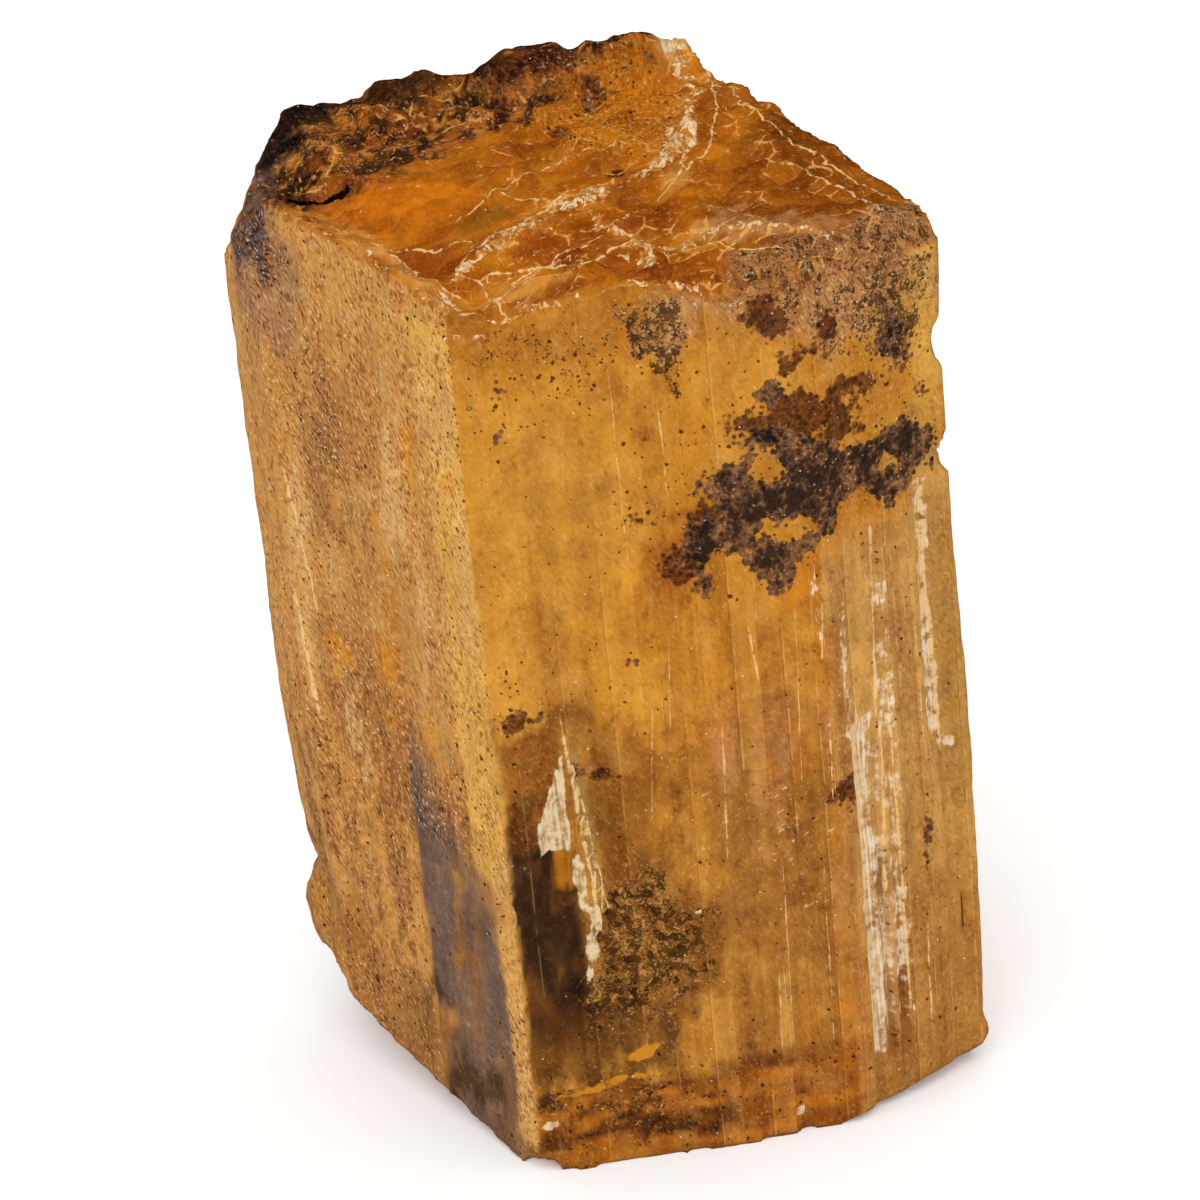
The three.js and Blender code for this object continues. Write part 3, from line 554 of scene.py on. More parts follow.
def tints():
    lay((184, 112, 28), smooth(drift, 0, 1), 0.45)
    lay((212, 150, 62), smooth(-drift, 0, 1), 0.45)
    for part in (paint_back, paint_front, paint_bevel, paint_left, paint_top):
        part()
    lay((134, 84, 32), here.base, 0.8)
    lined = on(FRONT, BEVEL_R, END_R, BACK, BEVEL_L) * (1 - 0.5 * smooth(z, 38, 46))
    step = 0.16 * (slab - 0.5) + 0.08 * (plate - 0.5) + 0.05 * streaks
    paint.shade(np.clip(1 + lined * step + 0.08 * fine + 0.10 * middle + 0.06 * drift, 0.5, 1.4))
    return paint.colour


def blade():
    """The big pale flake: flat below, its left side slanting in to a tip above."""
    left_side = 2.2 + 0.38 * np.maximum(z - 25.2, 0)
    field = np.minimum.reduce([here.s - left_side, 4.15 - here.s, 0.6 * (z - 23.1), 0.3 * (30 - z)])
    return np.where(here.face == FRONT, field, -2)


def lit_edges_and_lips():
    """Distance to the nearest thin line, with a sign for its side, and the half-width of that line."""
    line, width = np.full(len(p), 9.0), np.zeros(len(p))
    # The lines up the walls are painted highlights on the edges of growth steps; those on the top follow the
    # lips of fractures.
    for face, rows in LIT_STEP_EDGES.items():
        for s0, z0, s1, z1, half in rows:
            past_end = np.maximum.reduce([z0 - z, z - z1, np.zeros(len(p))])
            off = here.s - s0 - (s1 - s0) * (z - z0) / (z1 - z0) + 0.03 * middle
            nearer = (here.face == face) & (here.top < 0.5) & (np.abs(off) + past_end < np.abs(line))
            line = np.where(nearer, off, line)
            width = np.where(nearer, half * (1 - smooth(past_end, 0, 0.8)), width)
    on_top = (here.top > 0.5) & (np.abs(lip_off) < 1)
    line, width = np.where(on_top, lip_off, line), np.where(on_top, 0.10, width)
    return line, np.where(np.abs(line) < 0.7, width, 0)


def stains():
    """Black-brown growths, mostly about the front's right edge, with their holes, and lone clumps."""
    stain = spots({
        FRONT: [(20.2, 47.2, 2.4, 1.9, 5), (19.6, 45.2, 3.2, 2, 0), (16.7, 46, 2.3, 1.9, -22),
                (16.6, 43.7, 2.4, 1.8, -17), (17.6, 41.2, 2, 1.5, -73), (13.5, 43.2, 1.8, 1.5, -86),
                (20, 42.2, 2, 1, 32), (13.7, 40.2, 0.7, 0.7, 0), (15.1, 38.7, 0.5, 0.4, 0),
                (13.9, 47.1, 0.6, 0.45, -24), (18.4, 49.4, 2, 1, -12), (14.9, 42.6, 1.6, 1.2, 0),
                (18.4, 52.5, 1.1, 0.8, -20)],
        BEVEL_R: [(0.3, 47.1, 2.2, 1.9, 0), (3.2, 46.6, 3.4, 1.6, -10), (6.2, 45.7, 3, 2.2, -20),
                  (4.2, 44.6, 3.4, 1.5, -11), (0.5, 45.2, 2.8, 2, -8), (0.1, 42.8, 1.5, 1, 32),
                  (6.3, 53.6, 1.5, 1.1, -58), (5.6, 52.4, 1.7, 0.8, -25)],
        BACK: [(4, 50, 2.4, 1.2, 20), (6.5, 47, 1.6, 0.8, -30)],
        BACK_R: [(9, 44, 1.2, 2, 10)]}, 0.6)
    lone = spots({
        FRONT: [(1.4, 56.2, 0.9, 0.4, -10), (2.5, 55.1, 0.9, 0.5, -15), (0.8, 54.4, 0.4, 0.3, 0),
                (1.8, 53.7, 0.6, 0.35, -14), (2, 51.8, 0.6, 0.4, 87), (1.2, 49.1, 0.35, 0.3, 0),
                (8.4, 35.4, 1.4, 0.4, 4), (4.8, 35.2, 0.6, 0.5, -17), (2.8, 33.4, 1.3, 0.35, -10)],
        BEVEL_R: [(6, 50.6, 0.6, 0.4, -40), (3.1, 53.6, 1.2, 0.5, -22), (1, 54.6, 1.1, 0.5, -15)],
        LEFT: [(2, 47.9, 0.6, 0.4, 40)],
        "top": [(0.3, 6.1, 0.9, 0.6, 84), (2.6, 9.4, 0.9, 0.6, 86)]}, 0.3)
    stain = np.maximum(stain, lone - 0.3)
    holes = spots({FRONT: [(17.7, 47.2, 0.9, 0.7, -22), (18.7, 43, 1.2, 0.5, -11),
                           (14.9, 41.1, 0.9, 0.8, 0)], BEVEL_R: [(5.4, 45.2, 0.5, 0.3, -24)]}, 0.35)
    return np.minimum(stain, -holes)


def blooms():
    """Red-brown clouds beside the stain and on the gold part of the top."""
    return spots({
        FRONT: [(20.3, 51.3, 2.4, 1.5, -14), (18.4, 50.2, 2.2, 1.3, -12), (20.2, 49.4, 2, 1, 0),
                (18.5, 57.2, 1.3, 0.8, -12), (20.3, 58.4, 0.6, 0.5, 0), (19.9, 55, 1.1, 0.5, -10),
                (19.1, 54.3, 0.6, 0.4, 90), (13.6, 44.6, 1.6, 1, 0), (12.4, 42, 1.3, 1.2, 0),
                (10, 45.7, 0.6, 0.2, -10), (20.2, 24.7, 0.7, 0.6, 0), (5.1, 29, 0.5, 0.4, 0),
                (6.6, 28.7, 0.7, 0.3, -12), (1.9, 33, 1.3, 0.4, 0)],
        BEVEL_R: [(0.3, 51.1, 2.3, 1.4, -14), (2.4, 51.3, 2.2, 0.7, -18), (1.6, 49.3, 2, 0.8, 0),
                  (1.9, 56.4, 1.2, 0.9, -59), (0.9, 54.8, 1, 0.5, -10), (0.6, 24.7, 1.2, 0.6, -48),
                  (8.5, 49.3, 0.7, 0.4, -40), (6.5, 19, 0.3, 1.6, 0)],
        "top": [(0.3, 6.2, 1.1, 0.7, 84), (2.5, 9.2, 0.9, 0.5, 83), (3, 10.6, 1, 0.4, -24),
                (3.2, 1.3, 0.5, 0.3, 84), (-1.2, 11.4, 1.8, 0.5, 25)]}, 0.5)


def fields():
    """Signed distances and strengths that the shader sharpens with fine noise."""
    crumbly = [
        ({FRONT: [(8.2, 15.8, 5.6, 3.8, -88), (6, 12.4, 3, 2.5, 0)]}, 1.3, 0.85),
        ({FRONT: [(3.6, 57.6, 5, 2.2, -4), (8.6, 56.4, 2, 1.4, 0)]}, 1, 0.44),
        ({FRONT: [(12.3, 57.6, 2.3, 1.7, -30), (12.6, 55.6, 1.2, 1, 0)]}, 0.7, 0.96),
        ({FRONT: [(18.4, 59.6, 4.6, 2, -8)], BEVEL_R: [(5, 57.2, 5, 3.6, -20)]}, 1, 0.62),
        ({BEVEL_R: [(6.3, 54.6, 2.8, 2.2, -65)]}, 0.8, 0.95),
        ({LEFT: [(0.4, 60.5, 2.8, 4.4, 20)], END_L: [(5.5, 59.5, 4, 4, 0)]}, 1.2, 0.66),
        ({LEFT: [(4, 50, 3, 5, 20), (4.8, 42, 2, 3, 0)]}, 1.2, 0.45),
        ({FRONT: [(5, 4, 5, 1.8, 0)]}, 0.8, 0.55), ({FRONT: [(14, 3.4, 5, 1.2, 0)]}, 0.8, 0.36),
        ({BACK: [(6, 14, 5, 3, 70), (15, 44, 5, 2, 80)], BACK_R: [(13, 10, 4, 2.6, 80)]}, 1.5, 0.8)]
    rind = on(BACK, BEVEL_L) * smooth(z + 1.6 * fine + 1.4 * middle, 54, 60)
    grain = np.maximum.reduce([soft(places, width) * strength for places, width, strength in crumbly]
                              + [rind * 0.8, 0.62 * crusty * (1 - 0.9 * lumps), 0.66 * shelf])
    flakes = spots({
        FRONT: [(4.5, 20.6, 2.4, 0.36, 92), (5.2, 18, 1.2, 0.34, 98), (4.8, 15.8, 1.3, 0.42, 88),
                (4.5, 13.8, 0.8, 0.22, 85), (1, 3.4, 0.7, 0.36, 17), (16.7, 1.6, 0.4, 0.35, 0),
                (11.5, 17.4, 0.3, 0.25, 0)],
        BEVEL_R: [(8.4, 24.8, 0.9, 0.4, -31)],
        "top": [(8.2, 13.1, 0.9, 0.6, 0)]})
    flakes = np.maximum(flakes, blade())
    streak = np.maximum.reduce([bevel_band, 0.8 * box(BEVEL_R, 7.2, 8.2, 25.5, 43.5, 0.25),
                                0.62 * box(BEVEL_R, 3.4, 4.8, 6, 38, 0.3),
                                0.5 * box(FRONT, 19.9, 20.5, 34, 41, 0.15),
                                0.55 * box(BEVEL_R, 0.9, 1.6, 26, 38, 0.15)])
    lumpy = {"top": [(1.2, -1.6, 1.3, 0.9, 60), (7.4, 3.2, 2.5, 1, 75), (-8.7, -11.8, 1.4, 0.9, 85),
                     (3.3, -10.4, 0.8, 0.4, 80), (9.6, -8.2, 1.6, 0.6, -6)]}
    vein = np.maximum.reduce([0.34 - vein_off, spots(lumpy), 0.12 - np.abs(path(RIM)),
                              0.12 - np.abs(path(LEFT_RIM))])
    vein = np.where(here.top > 0.3, vein, -2)
    wedge = spots({FRONT: [(4.7, 5.7, 4, 0.35, 7), (7.3, 7.7, 1.3, 0.5, 23), (10.6, 28.7, 1.3, 0.2, -10),
                           (2.4, 8.4, 1.5, 0.12, 3), (8.6, 6.2, 1.2, 0.15, 20)]})
    crack = np.where(here.top > 0.1, 0.15 - np.abs(path(CRACK, bent=False)) - 0.04 * middle, -2)
    low_left = box(LEFT, 9.3, 17.2, 0, 22, 0.3, 0.3)
    gold = soft(GOLDEN, 1)
    sand = (sandy_side * (1 - 0.8 * low_left) * np.clip(0.8 + 0.35 * fine, 0.3, 1.1)
            + 0.3 * on(BEVEL_R, END_R) + 0.22 * on(FRONT, BACK, BEVEL_L) * (1 - smoke) + 0.5 * shoulder
            + 0.1 * glassy + 0.35 * gold + 0.4 * crusty * (1 - 0.8 * lumps) + 0.5 * shelf)
    dotted = {FRONT: [(8.2, 35.5, 1.6, 0.5, 2), (3.4, 33.6, 2.4, 0.6, -6), (0.6, 35.2, 0.5, 2, 0),
                      (7.5, 55.5, 1.6, 1.2, 0)]}
    speckled = {FRONT: [(16, 46, 5, 8, 60), (1.6, 28, 1.6, 4, 0)], BEVEL_R: [(4, 50, 5, 8, 0)]}
    speck = (0.6 * on(LEFT, END_L) * (1 - 0.6 * low_left) * np.clip(0.9 + 0.7 * drift, 0.2, 2)
             + 0.4 * box(LEFT, 14.9, 18.6, 18, 60, 0.4)
             + 0.8 * soft({FRONT: [(2.5, 53.6, 3, 3.6, 0), (6.5, 55.6, 4, 1.6, 0)]}, 1)
             + 1.2 * soft(dotted, 0.3)
             + 0.16 * on(FRONT, BEVEL_R, END_R, BACK) + 0.8 * gold + 0.8 * shelf
             + 0.6 * soft(speckled, 1.5) + 0.5 * box(FRONT, 8, 20.6, 0, 6, 1) + 0.5 * on(BACK_R))
    lined = on(FRONT) * (0.5 + 0.5 * smooth(here.s, 8, 13)) * (1 - 0.35 * smooth(z, 36, 44))
    lined = lined + on(BEVEL_R, END_R, BACK, BEVEL_L) * (1 - 0.5 * smooth(z, 40, 46))
    scratch = soft({FRONT: [(17.3, 22.8, 3.2, 3, 0), (18.1, 16.4, 1.8, 1.3, 0), (12.6, 24, 1.4, 3, 0)]},
                   1.2) + 0.5 * glassy * (1 - scoop)
    web = glassy * (1 - 0.9 * scoop) * smooth(middle + 0.9 * smooth(3 - vein_off, 0, 3), -0.3, 1)
    web += 0.8 * soft({"top": [(9.2, -7.4, 3, 1.8, -60)]}, 0.6)
    web += 0.9 * crusty * (1 - lumps) * smooth(-fine, -0.4, 0.6)
    rough = 0.38 + 0.22 * sandy_side - 0.12 * glassy + 0.12 * crusty + 0.2 * shelf - 0.1 * low_left
    line, width = lit_edges_and_lips()
    return {
        "stain": stains(), "bloom": blooms(), "grain": grain, "flake": flakes, "streak": streak,
        "vein": vein, "line": line, "width": width, "wedge": wedge, "crack": crack,
        "sand": np.clip(sand, 0, 1.1), "speck": np.clip(speck, 0, 2), "lined": lined, "scratch": scratch,
        "rough": rough, "middle": middle, "web": web, "upright": here.wall}


def store(mesh):
    colour = np.ones((len(p), 4))
    colour[:, :3] = tints()
    kept = fields()
    kept["bright"] = smooth(colour[:, 0], 0.05, 0.35)
    for name, values in kept.items():
        mesh.attributes.new(name, "FLOAT", "POINT").data.foreach_set("value", np.asarray(values, float))
    mesh.attributes.new("tint", "FLOAT_COLOR", "POINT").data.foreach_set("color", colour.ravel())
    # Texture places: round the walls and up, as seen from above on the top, and by x and height on
    # the top's steep parts and on the whole base.
    quads = read(mesh.loops, "vertex_index", 1, np.int32).reshape(-1, 4)
    ends = (here.wall[quads].mean(1) < 0.5)[:, None]
    around = here.round[quads]
    wraps = (np.ptp(around, axis=1) > ROUND / 2)[:, None] & (around < ROUND / 2)
    sway = 0.45 * noise(p / 2.6, 33)[quads]
    places = np.zeros((*quads.shape, 3))
    places[:, :, 0] = np.where(ends, x[quads] + sway + APART, around + ROUND * wraps)
    away = y[quads] - sway + APART * np.sign(z[quads] - 30)
    steep = ((np.abs(n[:, 1]) - 0.8 * n[:, 2])[quads].mean(1) > 0)[:, None]
    places[:, :, 1] = np.where(ends & ~steep, away, z[quads])
    mesh.attributes.new("places", "FLOAT_VECTOR", "CORNER").data.foreach_set("vector", places.ravel())


store(mesh)
mesh.vertices.foreach_set("co", (displaced() * MM).ravel())
mesh.polygons.foreach_set("use_smooth", np.ones(len(mesh.polygons), bool))
mesh.update()

crystal = add("topaz", mesh)
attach(crystal, "root")
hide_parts("topaz_crystal")


# ---- shader ----

topaz = bpy.data.materials.new("topaz")
topaz.use_nodes = True
nodes, links = topaz.node_tree.nodes, topaz.node_tree.links
shader = nodes["Principled BSDF"]


def plug(target, value):
    if isinstance(value, Value):
        links.new(value.socket, target)
    elif isinstance(value, tuple) and len(value) == 3 and len(target.default_value) == 4:
        target.default_value = (*value, 1)
    else:
        target.default_value = value


def fill(sockets, values):
    for name, value in values.items():
        plug(sockets[name], value)


def make(kind, inputs=None, **settings):
    """A new shader node with these settings, and its inputs set or linked."""
    node = nodes.new("ShaderNode" + kind)
    for name, value in settings.items():
        setattr(node, name, value)
    fill(node.inputs, inputs or {})
    return node


def compute(operation, *inputs, clamp=False):
    return Value(make("Math", dict(enumerate(inputs)), operation=operation, use_clamp=clamp).outputs[0])


class Value:
    """A number, colour or vector that the shader works out at every point of the surface."""

    def __init__(self, socket):
        self.socket = socket

    def __add__(self, other):
        return compute("ADD", self, other)

    def __sub__(self, other):
        return compute("SUBTRACT", self, other)

    def __rsub__(self, other):
        return compute("SUBTRACT", other, self)

    def __mul__(self, other):
        return compute("MULTIPLY", self, other)

    __radd__ = __add__
    __rmul__ = __mul__

    def clamp(self):
        return compute("ADD", self, 0, clamp=True)


def ramp(value, low, high):
    """0 before low, 1 past high and smooth between; low may be the larger of the two."""
    ends = {"To Min": 1, "To Max": 0} if low > high else {}
    ends.update({"From Min": min(low, high), "From Max": max(low, high)})
    node = make("MapRange", {"Value": value, **ends}, interpolation_type="SMOOTHSTEP")
    return Value(node.outputs["Result"])


def attribute(name, output="Fac"):
    return Value(make("Attribute", attribute_name=name).outputs[output])


places = attribute("places", "Vector")


def placed(width, height, turn):
    """The texture places, turned, and scaled so that a unit is width by height millimetres."""
    turned = (0, 0, math.radians(turn))
    node = make("Mapping", {"Vector": places, "Scale": (width, height, 1), "Rotation": turned},
                vector_type="TEXTURE")
    return Value(node.outputs["Vector"])


def cloud(width, height, detail=1, turn=0):
    """Noise about 0, mostly within -1 and 1."""
    inputs = {"Vector": placed(width, height, turn), "Scale": 1, "Detail": detail, "Roughness": 0.6}
    return (Value(make("TexNoise", inputs, noise_dimensions="2D").outputs["Fac"]) - 0.5) * 3.6


def voronoi(width, height, turn, feature):
    inputs = {"Vector": placed(width, height, turn), "Scale": 1}
    return make("TexVoronoi", inputs, voronoi_dimensions="2D", feature=feature)


def grains(width, height, turn=0):
    """Distance from the middle of scattered grains, and two numbers for each grain."""
    node = voronoi(width, height, turn, "F1")
    parts = make("SeparateColor", {0: Value(node.outputs["Color"])})
    return Value(node.outputs["Distance"]), Value(parts.outputs[0]), Value(parts.outputs[1])


def random_of(column, row):
    """An even random number for each pair of whole numbers."""
    pair = make("CombineXYZ", {0: column, 1: row})
    node = make("TexWhiteNoise", {"Vector": Value(pair.outputs[0])}, noise_dimensions="2D")
    return Value(node.outputs["Value"])


def shards(width, length, seed):
    """Crisp upright strips, broken off at uneven heights: a number for each, and how far across it."""
    parts = make("SeparateXYZ", {0: places})
    across = Value(parts.outputs[0]) * (1 / width) + cloud(2.5 * width, 900, 0) * 0.3 + seed
    column = compute("FLOOR", across)
    row = compute("FLOOR", Value(parts.outputs[1]) * (1 / length) + random_of(column, seed) * 9)
    return random_of(column, row + 40), compute("FRACT", across)


def blend(under, over, amount, mode="MIX"):
    inputs = {"Factor": amount, 6: under, 7: over}
    return Value(make("Mix", inputs, data_type="RGBA", blend_type=mode).outputs[2])


CREAM = linear(236, 196, 138)


def dress():
    names = ("stain bloom grain flake streak vein line width wedge crack sand speck lined scratch rough "
             "middle web upright bright").split()
    a = SimpleNamespace(**{name: attribute(name) for name in names})
    colour = attribute("tint", "Color")

    def coat(over, amount, mode="MIX"):
        nonlocal colour
        colour = blend(colour, over, amount, mode)

    fine_grain = cloud(0.24, 0.24, 1)
    slanted = cloud(0.19, 0.46, 1.5, 28)
    nicks = cloud(0.15, 0.8, 1, -62)
    fleck = slanted * a.upright + fine_grain * (1 - a.upright)
    small = cloud(0.6, 0.8, 2)
    dust = cloud(0.13, 0.13)
    threads = cloud(0.16, 6, 2)
    splinter = cloud(0.26, 2.4, 1)
    dots, pick, tone = grains(0.46, 0.46)
    large, large_pick, large_tone = grains(1.2, 1.2)
    crackle = Value(voronoi(2.4, 1.3, 35, "DISTANCE_TO_EDGE").outputs["Distance"])
    facet, lit_facet_pick, facet_shade_and_height = grains(2.4, 1.3, 35)
    patchy = cloud(2.4, 3.4, 3, 12)
    shard, shard_edge = shards(1.5, 22, 3.3)
    sliver, _ = shards(0.45, 9, 7.7)
    broken = 1 - a.upright
    # Growth lines, and sandy grain with flecks that slant down to the right on the walls.
    # On the broken top, some facets get a painted shade, as if turned from the light, and others a painted
    # highlight.
    deepen = (a.lined * (ramp(shard, 0.5, 0) * 0.20 + ramp(sliver, 0.4, 0) * 0.09
                         + ramp(threads, -0.3, -1.2) * 0.07) + ramp(patchy, 0, -1.2) * 0.30
              + broken * ramp(facet_shade_and_height, 0.45, 0) * 0.40
              + a.sand * (ramp(fleck, 0.1, -1) * 0.88 + ramp(small, 0, -1.1) * 0.46)
              + ramp(small, -0.1, -1.2) * 0.30 + ramp(fine_grain, -0.2, -1.2) * 0.10)
    brighten = (a.lined * (ramp(shard, 0.55, 1) * 0.14 + ramp(sliver, 0.6, 1) * 0.08
                           + ramp(threads, 0.35, 1.2) * 0.08) + ramp(patchy, 0, 1.2) * 0.30
                + ramp(fine_grain, 0.3, 1.4) * 0.18 + ramp(small, 0.2, 1.3) * 0.18)
    shade = blend((0.44, 0.27, 0.24), (0.44, 0.22, 0.03), broken)
    coat(shade, deepen.clamp(), "MULTIPLY")
    pale = blend(linear(236, 178, 88), linear(218, 130, 20), broken)
    # Painted highlights on some facets of the broken top.
    brighten = brighten + broken * ramp(lit_facet_pick + facet * 0.5, 0.8, 1.4) * 0.26
    coat(pale, (brighten * (a.bright * 0.8 + 0.2)).clamp())
    coat(CREAM, a.sand * ramp(fleck, 0.15, 1.1) * 0.72)
    # Painted highlight along one edge of each growth strip, and painted shade along the other, as a step
    # would catch the light.
    lit_strip_edge = ramp(shard_edge, 0.09, 0.03) * ramp(shard, 0.3, 0.6) * ramp(splinter + small * 0.5, -0.5, 0.5)
    coat(linear(236, 186, 108), a.lined * lit_strip_edge * 0.35)
    shaded_strip_edge = ramp(shard_edge, 0.92, 0.97) * ramp(shard, 0.7, 0.4) * ramp(small, -0.5, 0.3)
    coat(linear(124, 72, 24), a.lined * shaded_strip_edge * 0.4)
    # Crumbly zones: dark, brown and tan crumbs, thinning out to the edge of each zone.
    crumb = fine_grain * 0.55 + dust * 0.4 + small * 0.25 + (tone - 0.5) * 1
    dark = blend(linear(42, 28, 20), linear(106, 68, 40), pick)
    coat(dark, ramp(a.grain + crumb * 0.5, 0.58, 0.86) * 0.88)
    tan = a.grain * 0.6 + fine_grain * 0.45 + (pick - 0.5) * 0.8 - ramp(dots, 0.4, 0.8) * 0.3
    coat(linear(202, 146, 80), ramp(tan, 0.72, 0.95) * 0.75)
    # Red-brown blooms, then the dark stain with its dotted rim and its own grain.
    knobs = ramp(dots, 0.62, 0.15)
    spread = a.middle * 0.28 + small * 0.25
    bloom = ramp(a.bloom + spread + fine_grain * 0.14 + knobs * 0.25, -0.05, 0.3)
    mottle = ramp(fine_grain * 0.7 + small * 0.6 + tone * 0.6 - knobs * 0.5, -0.7, 1.2)
    coat(blend(linear(52, 25, 19), linear(124, 66, 38), mottle), bloom * 0.9)
    stain = ramp(a.stain + spread + fine_grain * 0.12 + knobs * (0.08 + pick * 0.4), 0.06, 0.3)
    depth = ramp(a.stain, 0.1, 1.1)
    mottle = ramp(small * 0.7 + fine_grain * 0.5 + a.middle * 0.5 + tone * 0.7 - depth * 0.5, -0.4, 1.4)
    inner = blend(linear(38, 35, 41), linear(132, 88, 62), mottle)
    rings = ramp(dots + dust * 0.08, 0.42, 0.66) * ramp(small + depth * -0.8, -0.9, 0.4)
    inner = blend(inner, linear(168, 118, 74), rings * 0.5)
    amber = ramp(fine_grain + a.middle * 0.4 + small * 0.3, 0.9, 1.5)
    inner = blend(inner, linear(204, 136, 52), amber * 0.85)
    # Painted glints: a few tiny grey-white highlights among the stain's knobs.
    inner = blend(inner, linear(150, 140, 124), ramp(dots, 0.18, 0.08) * ramp(tone, 0.93, 0.96) * 0.6)
    coat(inner, stain * 0.94)
    # Dark specks of two kinds, no two alike.
    uneven = fleck * 0.05 + large_tone * 0.07
    coarse = ramp(large + uneven, 0.15, 0.09) * ramp(a.speck * 0.45 - large_pick, -0.02, 0.02)
    tiny = ramp(dots + fleck * 0.1 + tone * 0.1, 0.24, 0.12) * ramp(a.speck * 0.34 - pick, -0.02, 0.02)
    coat(linear(56, 31, 14), (coarse + tiny).clamp() * 0.85)
    # Pale scratches, flakes and splintered streaks, orange wedges, webs, lips, veins, the crack.
    coat(CREAM, a.scratch * ramp(nicks + small * 0.5, 0.75, 1.2) * 0.8)
    flake = ramp(a.flake + splinter * 0.06 + small * 0.06, -0.02, 0.08)
    flake_tone = blend(linear(178, 138, 86), linear(236, 212, 172), ramp(small + threads * 0.6, -0.9, 0.5))
    coat(flake_tone, flake * 0.92)
    torn = ramp(threads * 0.2 + splinter * 0.3 + small * 0.6 + a.middle * 0.3 + a.streak * 1.7, 0.9, 1.6)
    torn_tone = blend(linear(202, 162, 112), linear(246, 226, 196), ramp(threads + small * 0.8, -0.8, 0.8))
    coat(torn_tone, torn * 0.85)
    coat(linear(214, 138, 40), ramp(a.wedge + small * 0.12, 0, 0.12) * 0.85)
    web = ramp(crackle + fine_grain * 0.02 - a.web * 0.065, 0, -0.025)
    web = web * ramp(small + fine_grain * 0.5, -0.7, 0.3)
    coat(linear(230, 168, 92), web * 0.8)
    # Thin pale lines: painted highlights on step edges up the walls, and the lips of fractures on the top.
    line = a.width * (splinter * 0.5 + small * 0.3 + 1.1) - compute("ABSOLUTE", a.line)
    line = ramp(line, 0, 0.09) * ramp(small + fine_grain * 0.6, -1, 0.2)
    coat(linear(238, 198, 136), line * 0.9)
    crumbs = ramp(a.vein + small * 0.3 + fine_grain * 0.22 + a.middle * 0.12, 0, 0.14)
    lit = ramp(fine_grain * 0.6 + (tone - 0.5) * 1.5 + small * 0.4, -0.5, 1)
    coat(blend(linear(190, 122, 46), linear(246, 216, 168), lit), crumbs * 0.9)
    coat(linear(24, 14, 10), ramp(a.crack + small * 0.06 + fine_grain * 0.05, 0, 0.06))
    # Painted glints: tiny near-white highlights scattered over the surface, more of them on the sandy parts.
    painted_glint = ramp(large, 0.06, 0.03) * ramp(large_tone, 0.16, 0.14) * ramp(large_pick, 0.5, 0.55)
    painted_glint = painted_glint + a.sand * ramp(dots, 0.20, 0.10) * ramp(tone, 0.90, 0.92)
    coat(linear(250, 226, 184), painted_glint.clamp() * 0.7)
    plug(shader.inputs["Base Color"], colour)

    rough = a.rough + stain * 0.1 + small * 0.05
    plug(shader.inputs["Roughness"], compute("MAXIMUM", rough, 0.12))
    height = a.lined * (threads * 0.02 + shard * 0.05) + a.sand * fleck * 0.03 + a.grain * fine_grain * 0.05
    height = height + broken * (facet_shade_and_height * 0.30 - facet * 0.30) + fine_grain * 0.008
    height = height + knobs * (ramp(a.stain, -0.2, 0.3) + ramp(a.vein, -0.2, 0.2)) * 0.07
    bump = make("Bump", {"Distance": MM, "Strength": 1, "Height": height})
    links.new(bump.outputs["Normal"], shader.inputs["Normal"])


dress()
fill(shader.inputs, {
    "IOR": 1.62, "Specular IOR Level": 0.28, "Specular Tint": (1, 0.66, 0.34), "Subsurface Weight": 0.15,
    "Subsurface Radius": (1, 0.45, 0.12), "Subsurface Scale": 0.9 * MM, "Transmission Weight": 0.06})
mesh.materials.clear()
mesh.materials.append(topaz)

# ---- floor, light and camera ----

FAR = 3  # metres from the middle of the floor to its edges
SKY = 0.85  # light that reaches the crystal from all round
SKY_SEEN = 1  # the white that shows behind it
# The camera: degrees round from the front (left is below 0), above the floor, and rolled.
AZIMUTH, ELEVATION, ROLL = -5.4, 30, 5.66
AIM = Vector((-0.000026, 0.004579, 0.02985))
DISTANCE = 0.33785  # metres from the camera to that point
LENS, SENSOR = 161.34, 36  # millimetres

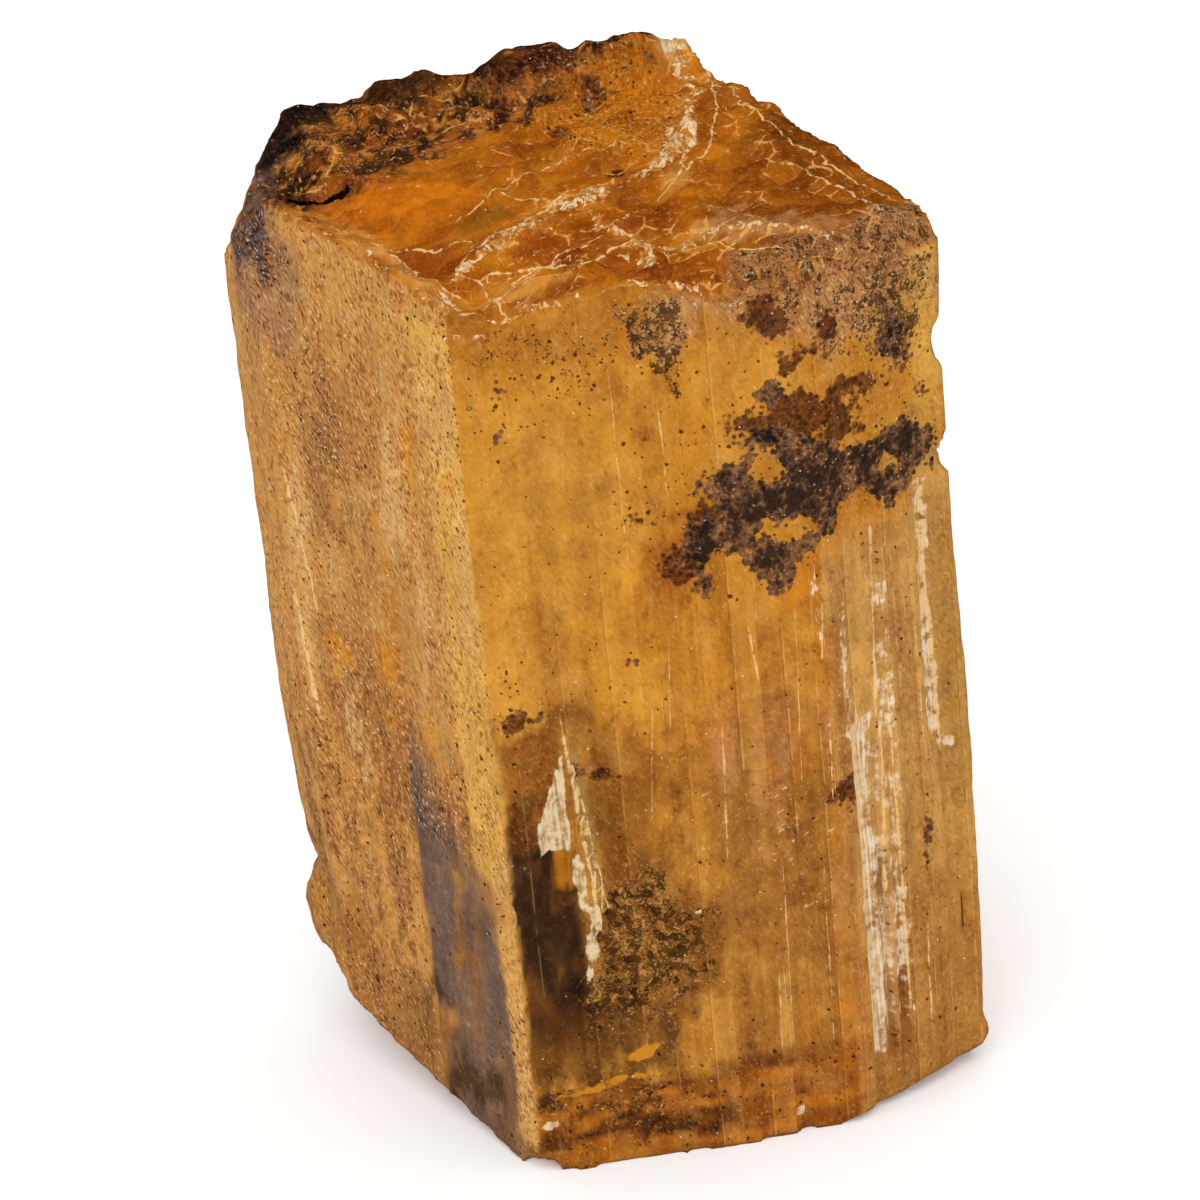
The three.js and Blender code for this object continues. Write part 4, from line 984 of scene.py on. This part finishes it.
floor_mesh = bpy.data.meshes.new("floor")
floor_mesh.from_pydata([(-FAR, -FAR, 0), (FAR, -FAR, 0), (FAR, FAR, 0), (-FAR, FAR, 0)], [], [(0, 1, 2, 3)])
floor = add("floor", floor_mesh)
floor.visible_glossy = False
pale_floor = bpy.data.materials.new("floor")
pale_floor.use_nodes = True
fill(pale_floor.node_tree.nodes["Principled BSDF"].inputs, {
    "Base Color": (0.95, 0.95, 0.95), "Roughness": 0.9, "Specular IOR Level": 0.1,
    "Emission Color": (1, 1, 1), "Emission Strength": 0.10})
floor_mesh.materials.append(pale_floor)

world = bpy.data.worlds.new("studio")
bpy.context.scene.world = world
world.use_nodes = True
world.cycles_visibility.glossy = False
tree = world.node_tree
rays = tree.nodes.new("ShaderNodeLightPath")
sky = tree.nodes.new("ShaderNodeMix")
sky.data_type = "FLOAT"
sky.inputs["A"].default_value = SKY
sky.inputs["B"].default_value = SKY_SEEN
tree.links.new(rays.outputs["Is Camera Ray"], sky.inputs["Factor"])
tree.links.new(sky.outputs["Result"], tree.nodes["Background"].inputs["Strength"])
tree.nodes["Background"].inputs["Color"].default_value = (1, 1, 1, 1)


def direction(azimuth, elevation):
    a, e = math.radians(azimuth), math.radians(elevation)
    return Vector((math.sin(a) * math.cos(e), -math.cos(a) * math.cos(e), math.sin(e)))


def sun(name, energy, spread, azimuth, elevation, mirrored=False):
    lamp = bpy.data.lights.new(name, "SUN")
    lamp.energy = energy
    lamp.angle = math.radians(spread)
    holder = add(name, lamp)
    holder.rotation_euler = direction(azimuth, elevation).to_track_quat("Z", "Y").to_euler()
    holder.visible_glossy = mirrored


sun("key", 0.66, 60, -35, 60)
sun("fill", 0.36, 70, 50, 50)
sun("spark", 0.2, 12, -20, 55, mirrored=True)


def photo_camera():
    """The view of the photo."""
    back, roll = direction(AZIMUTH, ELEVATION), math.radians(ROLL)
    right = (-back).cross(Vector((0, 0, 1))).normalized()
    up = right.cross(-back)
    side = math.cos(roll) * right - math.sin(roll) * up
    top = math.sin(roll) * right + math.cos(roll) * up
    lens = bpy.data.cameras.new("photo")
    lens.sensor_width = SENSOR
    lens.lens = LENS
    lens.clip_start = 0.01
    holder = add("photo", lens)
    turn = Matrix((side, top, back)).transposed()
    holder.matrix_world = Matrix.Translation(AIM + back * DISTANCE) @ turn.to_4x4()
    bpy.context.scene.camera = holder


photo_camera()
bpy.context.scene.view_settings.view_transform = "Standard"
